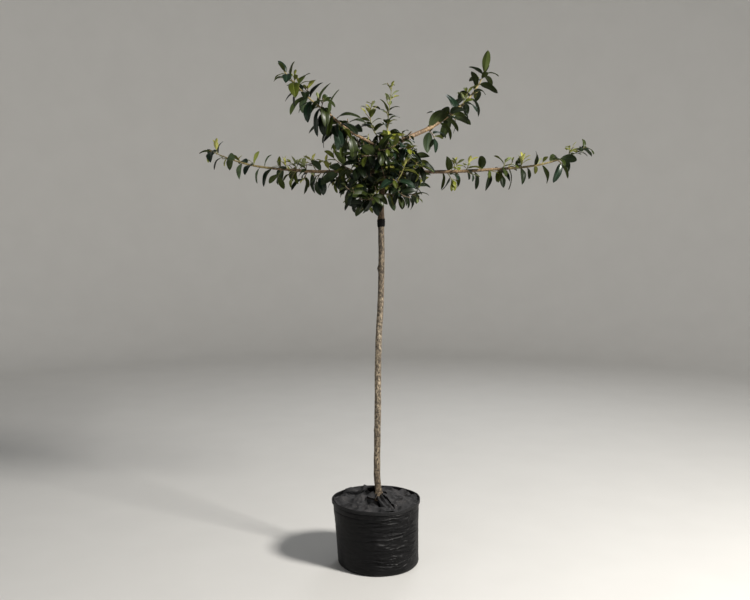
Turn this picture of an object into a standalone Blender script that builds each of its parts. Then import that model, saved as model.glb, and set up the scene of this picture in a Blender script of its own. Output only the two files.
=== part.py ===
"""A standard photinia in a soft grow bag: a clear grafted stem, four trained arms and a leafy head.

Metres, +Z up. The origin is the middle of the bag's underside. The stem leans a little, as sold, and the
head is open: two arms lie nearly level, left and right, one rises to the front left and one to the back
right. Each limb ends where leaves begin, and a foliage node goes on from its tip on the same line.
"""

import math
import random
from collections import namedtuple

import bmesh
import bpy
from mathutils import Matrix, Quaternion, Vector
from mathutils.bvhtree import BVHTree

GAP = 0.0003  # air left between two pieces that touch on the real plant
JOINT_GAP = 0.0006  # the same where a limb goes on past its bare wood, as its line bends there
CUT_GAP = GAP * 1.2  # the air that is cut round the stem, whose facets would narrow it
UP = Vector((0.0, 0.0, 1.0))
DOWN = -UP

# The grow bag, a 35 litre size: 400 mm across its rim and 303 mm tall.
BAG_HEIGHT = 0.303
BAG_FOOT_RADIUS = 0.168
BAG_LOW_RADIUS = 0.187
BAG_RIM_RADIUS = 0.200
BAG_WALL = 0.003
BAG_FOOT_ROUNDING = 0.022
BAG_STEPS = 28
FOOT_STEPS = 3
WALL_STEPS = 2
HEM_HEIGHT = 0.013
HEM_PROUD = 0.0015
HEM_BEVEL = 0.001
BAG_LEAN = -0.040  # how far the bag's axis goes sideways for each metre of height

# What fills it.
SOIL_EDGE_HEIGHT = 0.281
SOIL_CROWN_HEIGHT = 0.300
SOIL_FLAT_RADIUS = 0.044
SOIL_RINGS = 3
MAT_HOLE_RADIUS = 0.027
MAT_EDGE_CLEARANCE = 0.004
MAT_THICKNESS = 0.002
MAT_LIFT = 0.0009
MAT_CRUMPLE = 0.005
# The waves that crumple it: how fast each runs along X and Y, its phase and its share of the height.
MAT_WAVES = ((31.0, 12.0, 0.0, 1.0), (-22.0, 47.0, 1.0, 1.0), (68.0, 0.0, 4.0, 0.6))
MAT_RINGS = 5

# The stem: heights, and how far its middle is off the origin there.
TRUNK_FOOT_HEIGHT = SOIL_CROWN_HEIGHT + GAP
TRUNK_LEAN = (
    (TRUNK_FOOT_HEIGHT, 0.004, 0.0),
    (0.40, -0.006, 0.0),
    (0.75, -0.003, 0.0),
    (1.00, -0.001, 0.0),
    (1.20, 0.009, 0.0),
    (1.40, 0.013, 0.0),
    (1.60, 0.011, 0.0),
    (1.70, 0.014, 0.0),
    (1.80, 0.026, 0.0),
    (1.85, 0.034, 0.0),
    (1.90, 0.041, 0.002),
)
TRUNK_STEPS = 28
FLARE_STEPS = 4
FLARE_HEIGHT = 0.045
FLARE = 0.0065
STEM_RADIUS_LOW = 0.0152
STEM_RADIUS_HIGH = 0.0135
GRAFT_HEIGHT = 1.562
GRAFT_SWELLING = 0.0022
GRAFT_SPREAD = 0.030
LEADER_RADIUS = 0.0114

# The cut leader, a short stub that leaves the fork to the left.
STUB_LINE = ((0.034, 0.001, 1.862), (0.019, 0.003, 1.884), (0.009, 0.002, 1.908), (0.006, 0.0, 1.942))
STUB_RADIUS = (0.0072, 0.0056)

Limb = namedtuple("Limb", "start heading length pitch power radius bough sway")
# start: where its middle line begins, inside the stem. heading: degrees round from +X.
# pitch: degrees above level at its two ends. bough: the length that is bare wood.
LIMBS = {
    "left": Limb((0.019, 0.010, 1.782), 171.0, 0.805, (0.5, 27.0), 3.0, (0.0080, 0.0014), 0.175, 1.2),
    "right": Limb((0.024, 0.010, 1.774), -9.8, 0.885, (1.5, 34.0), 5.0, (0.0082, 0.0014), 0.245, 1.2),
    "upper_left": Limb((0.036, -0.001, 1.868), 225.5, 0.655, (17.0, 37.0), 1.2, (0.0062, 0.0014), 0.190, 2.5),
    "upper_right": Limb((0.037, 0.000, 1.887), 39.5, 0.735, (21.0, 60.0), 2.6, (0.0105, 0.0015), 0.250, 1.8),
}
TOP_SHOOTS = {
    "top_left": Limb((0.006, 0.000, 1.931), 184.0, 0.165, (25.0, 108.0), 0.6, (0.0030, 0.0012), 0.0, 0.0),
    "top_right": Limb((0.032, -0.006, 1.886), 15.0, 0.275, (86.0, 82.0), 1.0, (0.0034, 0.0011), 0.0, 2.0),
}

# The head round the leader: stems leave it by turns, the lowest drooping and the highest rising.
CENTRE_STEMS = 12
CENTRE_LOW = 1.668
CENTRE_HIGH = 1.868
CENTRE_FIRST_HEADING = 240.0
CENTRE_STEM_LENGTH = 0.170
CENTRE_STEM_RADIUS = (0.0040, 0.0020)
CENTRE_LOW_PITCH = (-8.0, 2.0)  # degrees above level at the two ends of the lowest stem
CENTRE_HIGH_PITCH = (18.0, 38.0)
CENTRE_SWAY = 3.0
STEM_TURNS = (0, 15, -15, 30, -30, 45, -45, 60, -60)  # degrees
STEM_CLEAR_FROM = 0.011  # a stem is inside the trunk up to here
FIT_MARGIN = 0.0008
SHORT_STEPS = 6
HEAD_MIDDLE = Vector((0.012, 0.0, 1.775))
HEAD_REACH = Vector((0.285, 0.245, 0.200))
SECTOR = math.radians(58.0)
SECTOR_FROM = 0.07  # nearer the leader than this, a stem's leaves may go all round
ARM_REACH = 0.150
ARM_BACK_REACH = 0.035  # how far an arm's leaves reach back over its bare bough
ARM_SHOOT_WAY = (0.8, 0.6)  # a short shoot's shares of outwards and onwards
ARM_LEAF_TURN = 0.3
ARM_LEAF_GAPS = (0.7, 1.3)
TIP_LEAF_GAP = 0.004
TIP_TRIES = 12
SHOOT_REACH = 0.110
SHOOT_LOWEST = 1.90

# Leaves, by age. length is in metres and width a share of it. splay is how many degrees a leaf stands off
# its twig, droop how strongly its outer part hangs, and hook how far along it bends.
Age = namedtuple("Age", "length width splay droop hook")
AGES = {
    "old": Age(0.090, 0.40, (45, 80), (0.7, 2.0), (0.25, 0.45)),
    "mid": Age(0.070, 0.38, (35, 65), (0.2, 0.9), (0.35, 0.55)),
    "young": Age(0.052, 0.32, (18, 45), (0.0, 0.25), (0.45, 0.6)),
    "raised": Age(0.078, 0.34, (8, 30), (0.0, 0.15), (0.45, 0.6)),
}
GOLDEN_TURN = math.radians(137.5)
LEAF_LENGTHS = (0.75, 1.20)  # the shortest and longest leaf, against its age's length
LEAF_WIDTHS = (0.88, 1.12)
LEAF_TILT = 22.0  # degrees either way that a leaf turns about its own line
FACE_UP = 0.8  # a leaf's upper side looks up, and a little along its twig
FACE_AHEAD = 0.5
FACE_LOOSE = 0.4
TIP_TURN = 0.25
LEVEL_DROOP = 0.70
RISING_DROOP = 0.45  # a leaf that starts upwards hangs less
LEAF_THICKNESS = 0.0022
LEAF_HALF = 0.55  # a leaf solid's half width, as a share of the leaf's width
# The spindle that a leaf is tested with: how far along its two rings are, and their half widths.
SPINDLE_RINGS = ((0.35, 0.57), (0.70, 0.52))
SPINDLE_FROM = 0.03
LEAF_TURNS = 0.5  # radians more either way that each further try may turn a leaf
TWIG_RADIUS = (0.0023, 0.0015)
TWIG_PITCHES = (-80.0, 88.0)  # degrees: a twig's end points no lower and no higher
TWIG_SWAYS = (1.0, 5.0)
TWIG_CLEAR_FROM = 0.006  # a twig is inside what it grows from up to here
TWIG_MARGIN = 0.0006
TWIG_LEAVES_FROM = 0.30
TWIG_LEAVES_RUN = 0.65
TWIG_LEAVES_CROWD = 0.8  # under 1 the leaves stand closer together towards the tip
TWIG_SMALLER = 0.25  # how much smaller its last leaf is
LIMB_TAPER = 1.25  # over 1 a limb keeps its girth at first and thins faster later
LIMB_STEPS = 24
BOUGH_STEPS = 8
ARM_STEPS = 14
TWIG_STEPS = 3

# What grows on each arm past its bare bough. shoots: short side shoots, each with its share of the way to
# the tip, its turn round the arm in degrees from straight up, its length, how many degrees it turns up,
# its leaf count and their ages from its foot to its tip. size is for all its leaves. first and gap space the
# single leaves, old is the share of the way up to which those are old, and tip lists the last leaves, each
# with its age and size.
Habit = namedtuple("Habit", "seed size first gap old shoots tip")
ARM_HABITS = {
    "left": Habit(
        106, 0.95, 0.020, 0.029, 0.95,
        (
            (0.02, 170, 0.055, -25, 5, ("old",)),
            (0.10, 20, 0.050, 15, 4, ("mid", "young")),
            (0.16, 195, 0.050, -20, 4, ("old",)),
            (0.20, 15, 0.060, 20, 6, ("mid", "young")),
            (0.27, 350, 0.036, 20, 5, ("young",)),
            (0.34, 15, 0.034, 20, 5, ("young",)),
            (0.41, 340, 0.030, 10, 4, ("young",)),
            (0.26, 170, 0.045, -20, 3, ("old",)),
            (0.34, 200, 0.030, -10, 3, ("mid",)),
            (0.45, 165, 0.040, -25, 3, ("mid",)),
            (0.95, 10, 0.045, 30, 3, ("young",)),
        ),
        (("old", 0.95), ("old", 0.95), ("raised", 0.95)),
    ),
    "right": Habit(
        48, 0.95, 0.015, 0.028, 0.85,
        (
            (0.05, 190, 0.055, -15, 5, ("old", "mid")),
            (0.10, 15, 0.040, 20, 4, ("mid", "young")),
            (0.18, 345, 0.045, 20, 4, ("mid", "young")),
            (0.22, 40, 0.115, 22, 6, ("mid", "mid", "young")),
            (0.43, 10, 0.030, 15, 4, ("mid", "young")),
            (0.55, 355, 0.035, 20, 5, ("young",)),
            (0.40, 165, 0.040, -15, 2, ("old",)),
            (0.80, 175, 0.030, -10, 3, ("old",)),
            (0.88, 10, 0.035, 20, 3, ("mid",)),
        ),
        (("old", 0.90), ("mid", 0.95), ("mid", 0.95), ("mid", 0.95)),
    ),
    "upper_left": Habit(
        92, 1.15, 0.010, 0.014, 0.80,
        (
            (0.04, 150, 0.060, -10, 5, ("old",)),
            (0.10, 20, 0.045, 15, 4, ("old",)),
            (0.25, 190, 0.050, -20, 4, ("old",)),
            (0.45, 70, 0.050, 10, 4, ("old",)),
            (0.50, 290, 0.050, 10, 4, ("old",)),
            (0.65, 30, 0.050, 20, 4, ("old", "mid")),
        ),
        (("mid", 1.10), ("mid", 0.80), ("raised", 0.65)),
    ),
    "upper_right": Habit(
        102, 1.05, 0.015, 0.020, 0.90,
        (
            (0.02, 185, 0.070, -30, 4, ("old",)),
            (0.22, 20, 0.040, 10, 4, ("old", "mid")),
            (0.35, 180, 0.040, -10, 3, ("old",)),
            (0.62, 10, 0.040, 15, 4, ("mid",)),
        ),
        (("old", 1.05), ("mid", 1.15), ("raised", 1.20), ("raised", 1.25)),
    ),
}
CENTRE_SEEDS = (31, 106, 79, 95, 91, 49, 59, 72, 94, 24, 112, 79)
CENTRE_TWIGS = 4
CENTRE_TWIGS_FROM = 0.16
CENTRE_TWIGS_RUN = 0.80
CENTRE_TWIG_WAY = (0.85, 0.5)
CENTRE_TWIG_LENGTHS = (0.055, 0.110)
CENTRE_TWIG_LIFTS = (-10, 30)
CENTRE_OLD_SHARE = 0.75  # the share of twigs with no young leaves
CENTRE_LEAVES = 6
CENTRE_STEM_LEAVES = 5
CENTRE_LEAVES_FROM = 0.30
CENTRE_LEAVES_RUN = 0.67
CENTRE_TRIES = 8
TOP_SEEDS = {"top_left": 105, "top_right": 132}
TOP_LEAVES = 11
TOP_LEAVES_FROM = 0.22
TOP_LEAVES_RUN = 0.75
TOP_YOUNG_FROM = 0.6
TOP_SMALLER = 0.35


# ---------------------------------------------------------------- paths


def limb_path(limb, steps):
    """The middle line of a limb, as steps + 1 points at equal distances."""
    point = Vector(limb.start)
    path = [point]
    for i in range(steps):
        share = (i + 0.5) / steps
        pitch = limb.pitch[0] + (limb.pitch[1] - limb.pitch[0]) * share**limb.power
        pitch += limb.sway * math.sin(share * 17.0)
        heading = limb.heading + limb.sway * 1.5 * math.cos(share * 13.0)
        point = point + direction(heading, pitch) * (limb.length / steps)
        path.append(point)
    return path


def direction(heading, pitch):
    turn, rise = math.radians(heading), math.radians(pitch)
    return Vector((math.cos(turn) * math.cos(rise), math.sin(turn) * math.cos(rise), math.sin(rise)))


def along(path, distance):
    """The point and the direction that far along a path, whose steps are all equal."""
    step = (path[1] - path[0]).length
    place = min(max(distance / step, 0.0), len(path) - 1.001)
    i = int(place)
    ahead = path[i + 1] - path[i]
    return path[i] + ahead * (place - i), ahead.normalized()


def part_of(path, start, end, steps):
    return [along(path, start + (end - start) * i / steps)[0] for i in range(steps + 1)]


def taper(radius, steps):
    return [radius[0] + (radius[1] - radius[0]) * i / steps for i in range(steps + 1)]


def trunk_path():
    """The stem's middle line: a smooth curve through TRUNK_LEAN, in short steps at the flare."""
    low, high = TRUNK_LEAN[0][0] + FLARE_HEIGHT, TRUNK_LEAN[-1][0]
    heights = [TRUNK_FOOT_HEIGHT + FLARE_HEIGHT * (k / FLARE_STEPS) ** 1.5 for k in range(FLARE_STEPS)]
    heights += [low + (high - low) * i / TRUNK_STEPS for i in range(TRUNK_STEPS + 1)]
    path = []
    for height in heights:
        k = max(j for j in range(len(TRUNK_LEAN) - 1) if TRUNK_LEAN[j][0] <= height + 1e-9)
        before, here = TRUNK_LEAN[max(k - 1, 0)], TRUNK_LEAN[k]
        there, after = TRUNK_LEAN[k + 1], TRUNK_LEAN[min(k + 2, len(TRUNK_LEAN) - 1)]
        run = there[0] - here[0]
        t = (height - here[0]) / run
        spot = []
        for axis in (1, 2):
            leave = (there[axis] - before[axis]) / (there[0] - before[0]) * run
            arrive = (after[axis] - here[axis]) / (after[0] - here[0]) * run
            spot.append(
                (2 * t**3 - 3 * t**2 + 1) * here[axis]
                + (t**3 - 2 * t**2 + t) * leave
                + (3 * t**2 - 2 * t**3) * there[axis]
                + (t**3 - t**2) * arrive
            )
        path.append(Vector((spot[0], spot[1], height)))
    path[0].xy = path[1].xy  # the lowest step is upright, so that the foot is cut level
    return path


def trunk_radius(height):
    """True taper, with the flare at the foot and the swollen graft."""
    share = (height - TRUNK_FOOT_HEIGHT) / (GRAFT_HEIGHT - TRUNK_FOOT_HEIGHT)
    if share <= 1:
        radius = STEM_RADIUS_LOW + (STEM_RADIUS_HIGH - STEM_RADIUS_LOW) * share
    else:
        share = (height - GRAFT_HEIGHT) / (TRUNK_LEAN[-1][0] - GRAFT_HEIGHT)
        radius = STEM_RADIUS_HIGH + (LEADER_RADIUS - STEM_RADIUS_HIGH) * share
    flare = FLARE * max(0.0, 1 - (height - TRUNK_FOOT_HEIGHT) / FLARE_HEIGHT) ** 2
    graft = GRAFT_SWELLING * math.exp(-(((height - GRAFT_HEIGHT) / GRAFT_SPREAD) ** 2))
    return radius + flare + graft


def stub_twig():
    path = [Vector(point) for point in STUB_LINE]
    return Twig(path, taper(STUB_RADIUS, len(path) - 1))


# ---------------------------------------------------------------- the rule that the foliage grows by

# A leaf's middle line is the curve from root towards bend and then to tip. across is its width's direction.
Leaf = namedtuple("Leaf", "root bend tip across width age")
Twig = namedtuple("Twig", "path radii")


class Filled:
    """What already fills the crown. A new twig or leaf stays clear of it."""

    def __init__(self):
        self.solids = []

    def fits(self, corners, faces, *its_own):
        middle, radius = ball(corners)
        tree = None
        for name, other_middle, other_radius, other in self.solids:
            if name in its_own or (other_middle - middle).length > radius + other_radius:
                continue
            tree = tree or BVHTree.FromPolygons(corners, faces)
            if tree.overlap(other):
                return False
        return True

    def add(self, name, corners, faces):
        self.solids.append((name, *ball(corners), BVHTree.FromPolygons(corners, faces)))


def ball(corners):
    middle = sum(corners, Vector()) / len(corners)
    return middle, max((corner - middle).length for corner in corners)


def rough_tube(path, radii, more, sides=5):
    """Corners and faces of a tube round a path, for the test of what fits."""
    corners, faces = [], []
    for i, point in enumerate(path):
        ahead = (path[min(i + 1, len(path) - 1)] - path[max(i - 1, 0)]).normalized()
        side = ahead.orthogonal().normalized()
        for k in range(sides):
            turned = Quaternion(ahead, math.tau * k / sides) @ side
            corners.append(point + turned * (radii[i] + more))
            if i:
                a, b = (i - 1) * sides + k, (i - 1) * sides + (k + 1) % sides
                faces.append((a, b, b + sides, a + sides))
    return corners, faces


def leaf_middle(leaf, t):
    return leaf.root * (1 - t) ** 2 + leaf.bend * (2 * t * (1 - t)) + leaf.tip * t * t


def rough_leaf(leaf):
    """Corners and faces of a slim spindle round a leaf, a little fuller than it, to test what fits."""
    chord = (leaf.tip - leaf.root).normalized()
    face = leaf.across.cross(chord)
    corners = [leaf_middle(leaf, SPINDLE_FROM)]
    for t, share in SPINDLE_RINGS:
        middle = leaf_middle(leaf, t)
        wide = leaf.across * leaf.width * share
        thick = face * LEAF_THICKNESS
        corners += [middle + wide, middle + thick, middle - wide, middle - thick]
    corners.append(leaf.tip)
    faces = []
    for k in range(4):
        n = (k + 1) % 4
        faces += [(0, 1 + n, 1 + k), (1 + k, 1 + n, 5 + n, 5 + k), (9, 5 + k, 5 + n)]
    return corners, faces


def side_of(ahead, turn):
    """The direction at right angles to ahead, turn radians round from the highest one."""
    high = UP - ahead * UP.dot(ahead)
    high = ahead.orthogonal() if high.length < 0.05 else high
    return Quaternion(ahead, turn) @ high.normalized()


def grow_leaf(draw, age, root, ahead, turn, size=1.0):
    """One leaf from root on a twig that points ahead. It arches away from the twig and hangs by its age."""
    kind = AGES[age]
    length = kind.length * size * draw.uniform(*LEAF_LENGTHS)
    splay = math.radians(draw.uniform(*kind.splay))
    out = side_of(ahead, turn)
    start = out * math.sin(splay) + ahead * math.cos(splay)
    loose = Vector((draw.uniform(-FACE_LOOSE, FACE_LOOSE), draw.uniform(-FACE_LOOSE, FACE_LOOSE), 0.0))
    face = UP * FACE_UP + ahead * FACE_AHEAD + loose
    face = (face - start * face.dot(start)).normalized()
    droop = draw.uniform(*kind.droop) * (LEVEL_DROOP - RISING_DROOP * start.z)
    end = (start - face * TIP_TURN + DOWN * droop).normalized()
    hook = draw.uniform(*kind.hook)
    bend = root + start * length * hook
    tip = bend + end * length * (1 - hook)
    chord = (tip - root).normalized()
    across = start.cross(face)
    across = (across - chord * across.dot(chord)).normalized()
    across = Quaternion(chord, math.radians(draw.uniform(-LEAF_TILT, LEAF_TILT))) @ across
    return Leaf(root, bend, tip, across, length * kind.width * draw.uniform(*LEAF_WIDTHS), age)


def grow_shoot(draw, start, ahead, length, radius, lift):
    """A side twig. It turns up by lift degrees on its way, or down where lift is below nothing."""
    heading = math.degrees(math.atan2(ahead.y, ahead.x))
    pitch = math.degrees(math.asin(max(-1.0, min(1.0, ahead.z))))
    end = max(TWIG_PITCHES[0], min(TWIG_PITCHES[1], pitch + lift))
    limb = Limb(start, heading, length, (pitch, end), 1.0, radius, 0.0, draw.uniform(*TWIG_SWAYS))
    return Twig(limb_path(limb, TWIG_STEPS), taper(radius, TWIG_STEPS))


def try_leaf(draw, filled, mass, space, age, root, ahead, turn, own, size=1.0, tries=5):
    """Adds the first leaf of a few that keeps to the mass's space and touches nothing."""
    for attempt in range(tries):
        loose = draw.uniform(-LEAF_TURNS, LEAF_TURNS) * attempt
        leaf = grow_leaf(draw, age, root, ahead, turn + loose, size)
        corners, faces = rough_leaf(leaf)
        if all(space(corner) for corner in corners) and filled.fits(corners, faces, own):
            filled.add(f"leaf {len(filled.solids)}", corners, faces)
            mass["leaves"].append(leaf)
            return True
    return False


def try_shoot(draw, filled, mass, space, own, root, ahead, length, lift, leaves, ages, size=1.0):
    """Adds a side twig with its leaves: spread along it, close together and younger towards its tip."""
    twig = grow_shoot(draw, root, ahead, length, TWIG_RADIUS, lift)
    clear = part_of(twig.path, TWIG_CLEAR_FROM, length, TWIG_STEPS)
    corners, faces = rough_tube(clear, twig.radii, TWIG_MARGIN)
    if not all(space(corner) for corner in corners) or not filled.fits(corners, faces, own):
        return False
    name = f"twig {len(filled.solids)}"
    filled.add(name, corners, faces)
    mass["twigs"].append(twig)
    turn = draw.uniform(0.0, math.tau)
    for i in range(leaves):
        share = i / max(leaves - 1, 1)
        place = TWIG_LEAVES_FROM + TWIG_LEAVES_RUN * share**TWIG_LEAVES_CROWD
        spot, way = along(twig.path, length * place)
        age = ages[min(int(share * len(ages)), len(ages) - 1)]
        smaller = size * (1.0 - TWIG_SMALLER * share)
        try_leaf(draw, filled, mass, space, age, spot, way, turn + i * GOLDEN_TURN, name, smaller)
    return True


def new_mass(stem, radii):
    return {"stem": Twig(stem, radii), "twigs": [], "leaves": []}


def grow_arm(name, filled, stems):
    """The leafy outer part of an arm: its short shoots, single leaves by turns round it, and its tip."""
    limb, habit = LIMBS[name], ARM_HABITS[name]
    draw = random.Random(habit.seed)
    stem = stems[name]
    mass = new_mass(stem, limb_radii(limb, limb.bough + JOINT_GAP, limb.length, len(stem) - 1))
    run = limb.length - limb.bough - JOINT_GAP
    gate, gate_way = along(stem, 0.0)

    def space(point):
        near = min((point - p).length for p in stem)
        return near < ARM_REACH and (point - gate).dot(gate_way) > -ARM_BACK_REACH

    for share, turn, length, lift, leaves, ages in habit.shoots:
        spot, way = along(stem, run * share)
        out = side_of(way, math.radians(turn))
        ahead = (out * ARM_SHOOT_WAY[0] + way * ARM_SHOOT_WAY[1]).normalized()
        try_shoot(draw, filled, mass, space, name, spot, ahead, length, lift, leaves, ages, habit.size)
    turn = draw.uniform(0.0, math.tau)
    distance = habit.first
    while distance < run:
        spot, way = along(stem, distance)
        age = "old" if distance < run * habit.old else "mid"
        try_leaf(draw, filled, mass, space, age, spot, way, turn, name, habit.size)
        turn += GOLDEN_TURN + draw.uniform(-ARM_LEAF_TURN, ARM_LEAF_TURN)
        distance += habit.gap * draw.uniform(*ARM_LEAF_GAPS)
    for i, (age, size) in enumerate(habit.tip):
        spot, way = along(stem, run - TIP_LEAF_GAP * (len(habit.tip) - i))
        try_leaf(draw, filled, mass, space, age, spot, way, turn + i * GOLDEN_TURN, name, size, TIP_TRIES)
    return mass


def limb_radii(limb, start, end, steps):
    """A limb keeps its girth over its first half and then thins faster to its tip."""
    radii = []
    for i in range(steps + 1):
        share = (start + (end - start) * i / steps) / limb.length
        radii.append(limb.radius[0] + (limb.radius[1] - limb.radius[0]) * share**LIMB_TAPER)
    return radii


def centre_limb(index, trunk, filled):
    """One of the stems round the leader: each next one stands higher, a golden turn on, and rises more.

    A stem that would meet one already there is turned aside until it is clear."""
    share = index / (CENTRE_STEMS - 1)
    height = CENTRE_LOW + (CENTRE_HIGH - CENTRE_LOW) * share
    heading = CENTRE_FIRST_HEADING + math.degrees(GOLDEN_TURN) * index
    pitch = tuple(low + (high - low) * share for low, high in zip(CENTRE_LOW_PITCH, CENTRE_HIGH_PITCH))
    start = point_at_height(trunk, height)
    for aside in STEM_TURNS:
        limb = Limb(
            start, heading + aside, CENTRE_STEM_LENGTH, pitch, 1.0, CENTRE_STEM_RADIUS, 0.0, CENTRE_SWAY
        )
        clear = part_of(limb_path(limb, SHORT_STEPS), STEM_CLEAR_FROM, limb.length, SHORT_STEPS)
        tube_round = rough_tube(clear, taper(limb.radius, SHORT_STEPS), FIT_MARGIN)
        if filled.fits(*tube_round, "trunk", "stub"):
            break
    return limb, tube_round


def grow_centre(name, limb, seed, filled):
    """The side twigs of one of the centre's stems and their leaves, within its own sector."""
    draw = random.Random(seed)
    start, length, heading = limb.start, limb.length, limb.heading
    stem = limb_path(limb, SHORT_STEPS)
    mass = new_mass(stem, taper(limb.radius, SHORT_STEPS))

    def space(point):
        reach = point - HEAD_MIDDLE
        if sum((reach[k] / HEAD_REACH[k]) ** 2 for k in range(3)) > 1.0:
            return False
        turn = math.atan2(point.y - start.y, point.x - start.x) - math.radians(heading)
        turn = abs((turn + math.pi) % math.tau - math.pi)
        return turn < SECTOR or math.hypot(point.x - start.x, point.y - start.y) < SECTOR_FROM

    turn = draw.uniform(0.0, math.tau)
    for i in range(CENTRE_TWIGS):
        share = CENTRE_TWIGS_FROM + CENTRE_TWIGS_RUN * i / (CENTRE_TWIGS - 1)
        spot, way = along(stem, length * share)
        out = side_of(way, turn)
        ahead = (out * CENTRE_TWIG_WAY[0] + way * CENTRE_TWIG_WAY[1]).normalized()
        ages = ("old", "old", "mid") if draw.random() < CENTRE_OLD_SHARE else ("old", "mid", "young")
        twig_length, lift = draw.uniform(*CENTRE_TWIG_LENGTHS), draw.uniform(*CENTRE_TWIG_LIFTS)
        try_shoot(draw, filled, mass, space, name, spot, ahead, twig_length, lift, CENTRE_LEAVES, ages)
        turn += GOLDEN_TURN
    for i in range(CENTRE_STEM_LEAVES):
        share = CENTRE_LEAVES_FROM + CENTRE_LEAVES_RUN * i / (CENTRE_STEM_LEAVES - 1)
        spot, way = along(stem, length * share)
        try_leaf(draw, filled, mass, space, "old", spot, way, turn, name, tries=CENTRE_TRIES)
        turn += GOLDEN_TURN
    return mass


def grow_top_shoot(name, limb, seed, filled):
    """A soft upright shoot over the fork, with narrow young leaves."""
    draw = random.Random(seed)
    stem = limb_path(limb, SHORT_STEPS)
    mass = new_mass(stem, taper(limb.radius, SHORT_STEPS))

    def space(point):
        return min((point - p).length for p in stem) < SHOOT_REACH and point.z > SHOOT_LOWEST

    turn = draw.uniform(0.0, math.tau)
    for i in range(TOP_LEAVES):
        share = i / (TOP_LEAVES - 1)
        age = "mid" if share < TOP_YOUNG_FROM else "young"
        spot, way = along(stem, limb.length * (TOP_LEAVES_FROM + TOP_LEAVES_RUN * share))
        try_leaf(draw, filled, mass, space, age, spot, way, turn, name, 1.0 - TOP_SMALLER * share)
        turn += GOLDEN_TURN
    return mass


def point_at_height(path, height):
    for low, high in zip(path, path[1:]):
        if low.z <= height <= high.z:
            return low.lerp(high, (height - low.z) / (high.z - low.z))
    return path[-1].copy()


def grow_crown():
    """Every foliage mass by name, grown in one fixed order."""
    trunk = trunk_path()
    filled = Filled()
    filled.add("trunk", *rough_tube(trunk, [trunk_radius(p.z) for p in trunk], FIT_MARGIN, 8))
    filled.add("stub", *rough_tube(*stub_twig(), FIT_MARGIN, 8))
    stems = {}
    for name, limb in LIMBS.items():
        path = limb_path(limb, LIMB_STEPS)
        stems[name] = part_of(path, limb.bough + JOINT_GAP, limb.length, ARM_STEPS)
        bough = part_of(path, 0.0, limb.bough, BOUGH_STEPS)
        radii = limb_radii(limb, 0.0, limb.bough, BOUGH_STEPS)
        filled.add("bough", *rough_tube(bough, radii, FIT_MARGIN, 6))
        radii = limb_radii(limb, limb.bough, limb.length, ARM_STEPS)
        filled.add(name, *rough_tube(stems[name], radii, FIT_MARGIN, 6))
    for name, limb in TOP_SHOOTS.items():
        clear = part_of(limb_path(limb, SHORT_STEPS), STEM_CLEAR_FROM, limb.length, SHORT_STEPS)
        filled.add(name, *rough_tube(clear, taper(limb.radius, SHORT_STEPS), FIT_MARGIN))
    centre = {}
    for index in range(CENTRE_STEMS):
        name = f"centre_{index + 1:02d}"
        centre[name], tube_round = centre_limb(index, trunk, filled)
        filled.add(name, *tube_round)
    masses = {}
    for name, limb in TOP_SHOOTS.items():
        masses[name] = grow_top_shoot(name, limb, TOP_SEEDS[name], filled)
    for name in LIMBS:
        masses[name] = grow_arm(name, filled, stems)
    for (name, limb), seed in zip(centre.items(), CENTRE_SEEDS):
        masses[name] = grow_centre(name, limb, seed, filled)
    return masses


# ---------------------------------------------------------------- making objects


def clear_scene():
    for old in list(bpy.data.objects):
        bpy.data.objects.remove(old, do_unlink=True)


def new_collection(name, hidden=False):
    made = bpy.data.collections.new(name)
    bpy.context.scene.collection.children.link(made)
    made.hide_render = hidden
    return made


def material(name, colour, roughness):
    made = bpy.data.materials.new(name)
    made.use_nodes = True
    shader = made.node_tree.nodes["Principled BSDF"]
    shader.inputs["Base Color"].default_value = (*colour, 1.0)
    shader.inputs["Roughness"].default_value = roughness
    made.diffuse_color = (*colour, 1.0)
    return made


def link(name, data, collection, finish=None):
    made = bpy.data.objects.new(name, data)
    collection.objects.link(made)
    if finish:
        data.materials.clear()
        data.materials.append(finish)
    return made


def ring_profile(sides, helpers):
    """The round outline, one metre in radius, that the tubes are drawn with."""
    data = bpy.data.curves.new(f"outline_{sides}", "CURVE")
    outline = data.splines.new("POLY")
    outline.points.add(sides - 1)
    for k, point in enumerate(outline.points):
        turn = math.tau * k / sides
        point.co = (math.cos(turn), math.sin(turn), 0.0, 1.0)
    outline.use_cyclic_u = True
    made = link(data.name, data, helpers)
    made.hide_render = True
    made.display_type = "WIRE"
    return made


def evaluated_mesh(made):
    bpy.context.view_layer.update()
    return bpy.data.meshes.new_from_object(made.evaluated_get(bpy.context.evaluated_depsgraph_get()))


def welded_mesh(made):
    """The evaluated mesh of an object, with a curve's caps joined to its sides."""
    mesh = evaluated_mesh(made)
    work = bmesh.new()
    work.from_mesh(mesh)
    bmesh.ops.remove_doubles(work, verts=work.verts, dist=1e-6)
    bmesh.ops.recalc_face_normals(work, faces=work.faces)
    work.to_mesh(mesh)
    work.free()
    mesh.name = made.name
    return mesh


def tube(name, twig, outline, collection, finish=None):
    """A tapered limb as a curve drawn with an outline, and made a mesh so that it can be joined or cut."""
    data = bpy.data.curves.new(name, "CURVE")
    data.dimensions = "3D"
    data.bevel_mode = "OBJECT"
    data.bevel_object = outline
    data.use_fill_caps = True
    line = data.splines.new("POLY")
    line.points.add(len(twig.path) - 1)
    for point, spot, radius in zip(line.points, twig.path, twig.radii):
        point.co = (*spot, 1.0)
        point.radius = radius
    drawn = link(name + "_line", data, collection)
    mesh = welded_mesh(drawn)
    bpy.data.objects.remove(drawn)
    return link(name, mesh, collection, finish)


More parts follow.
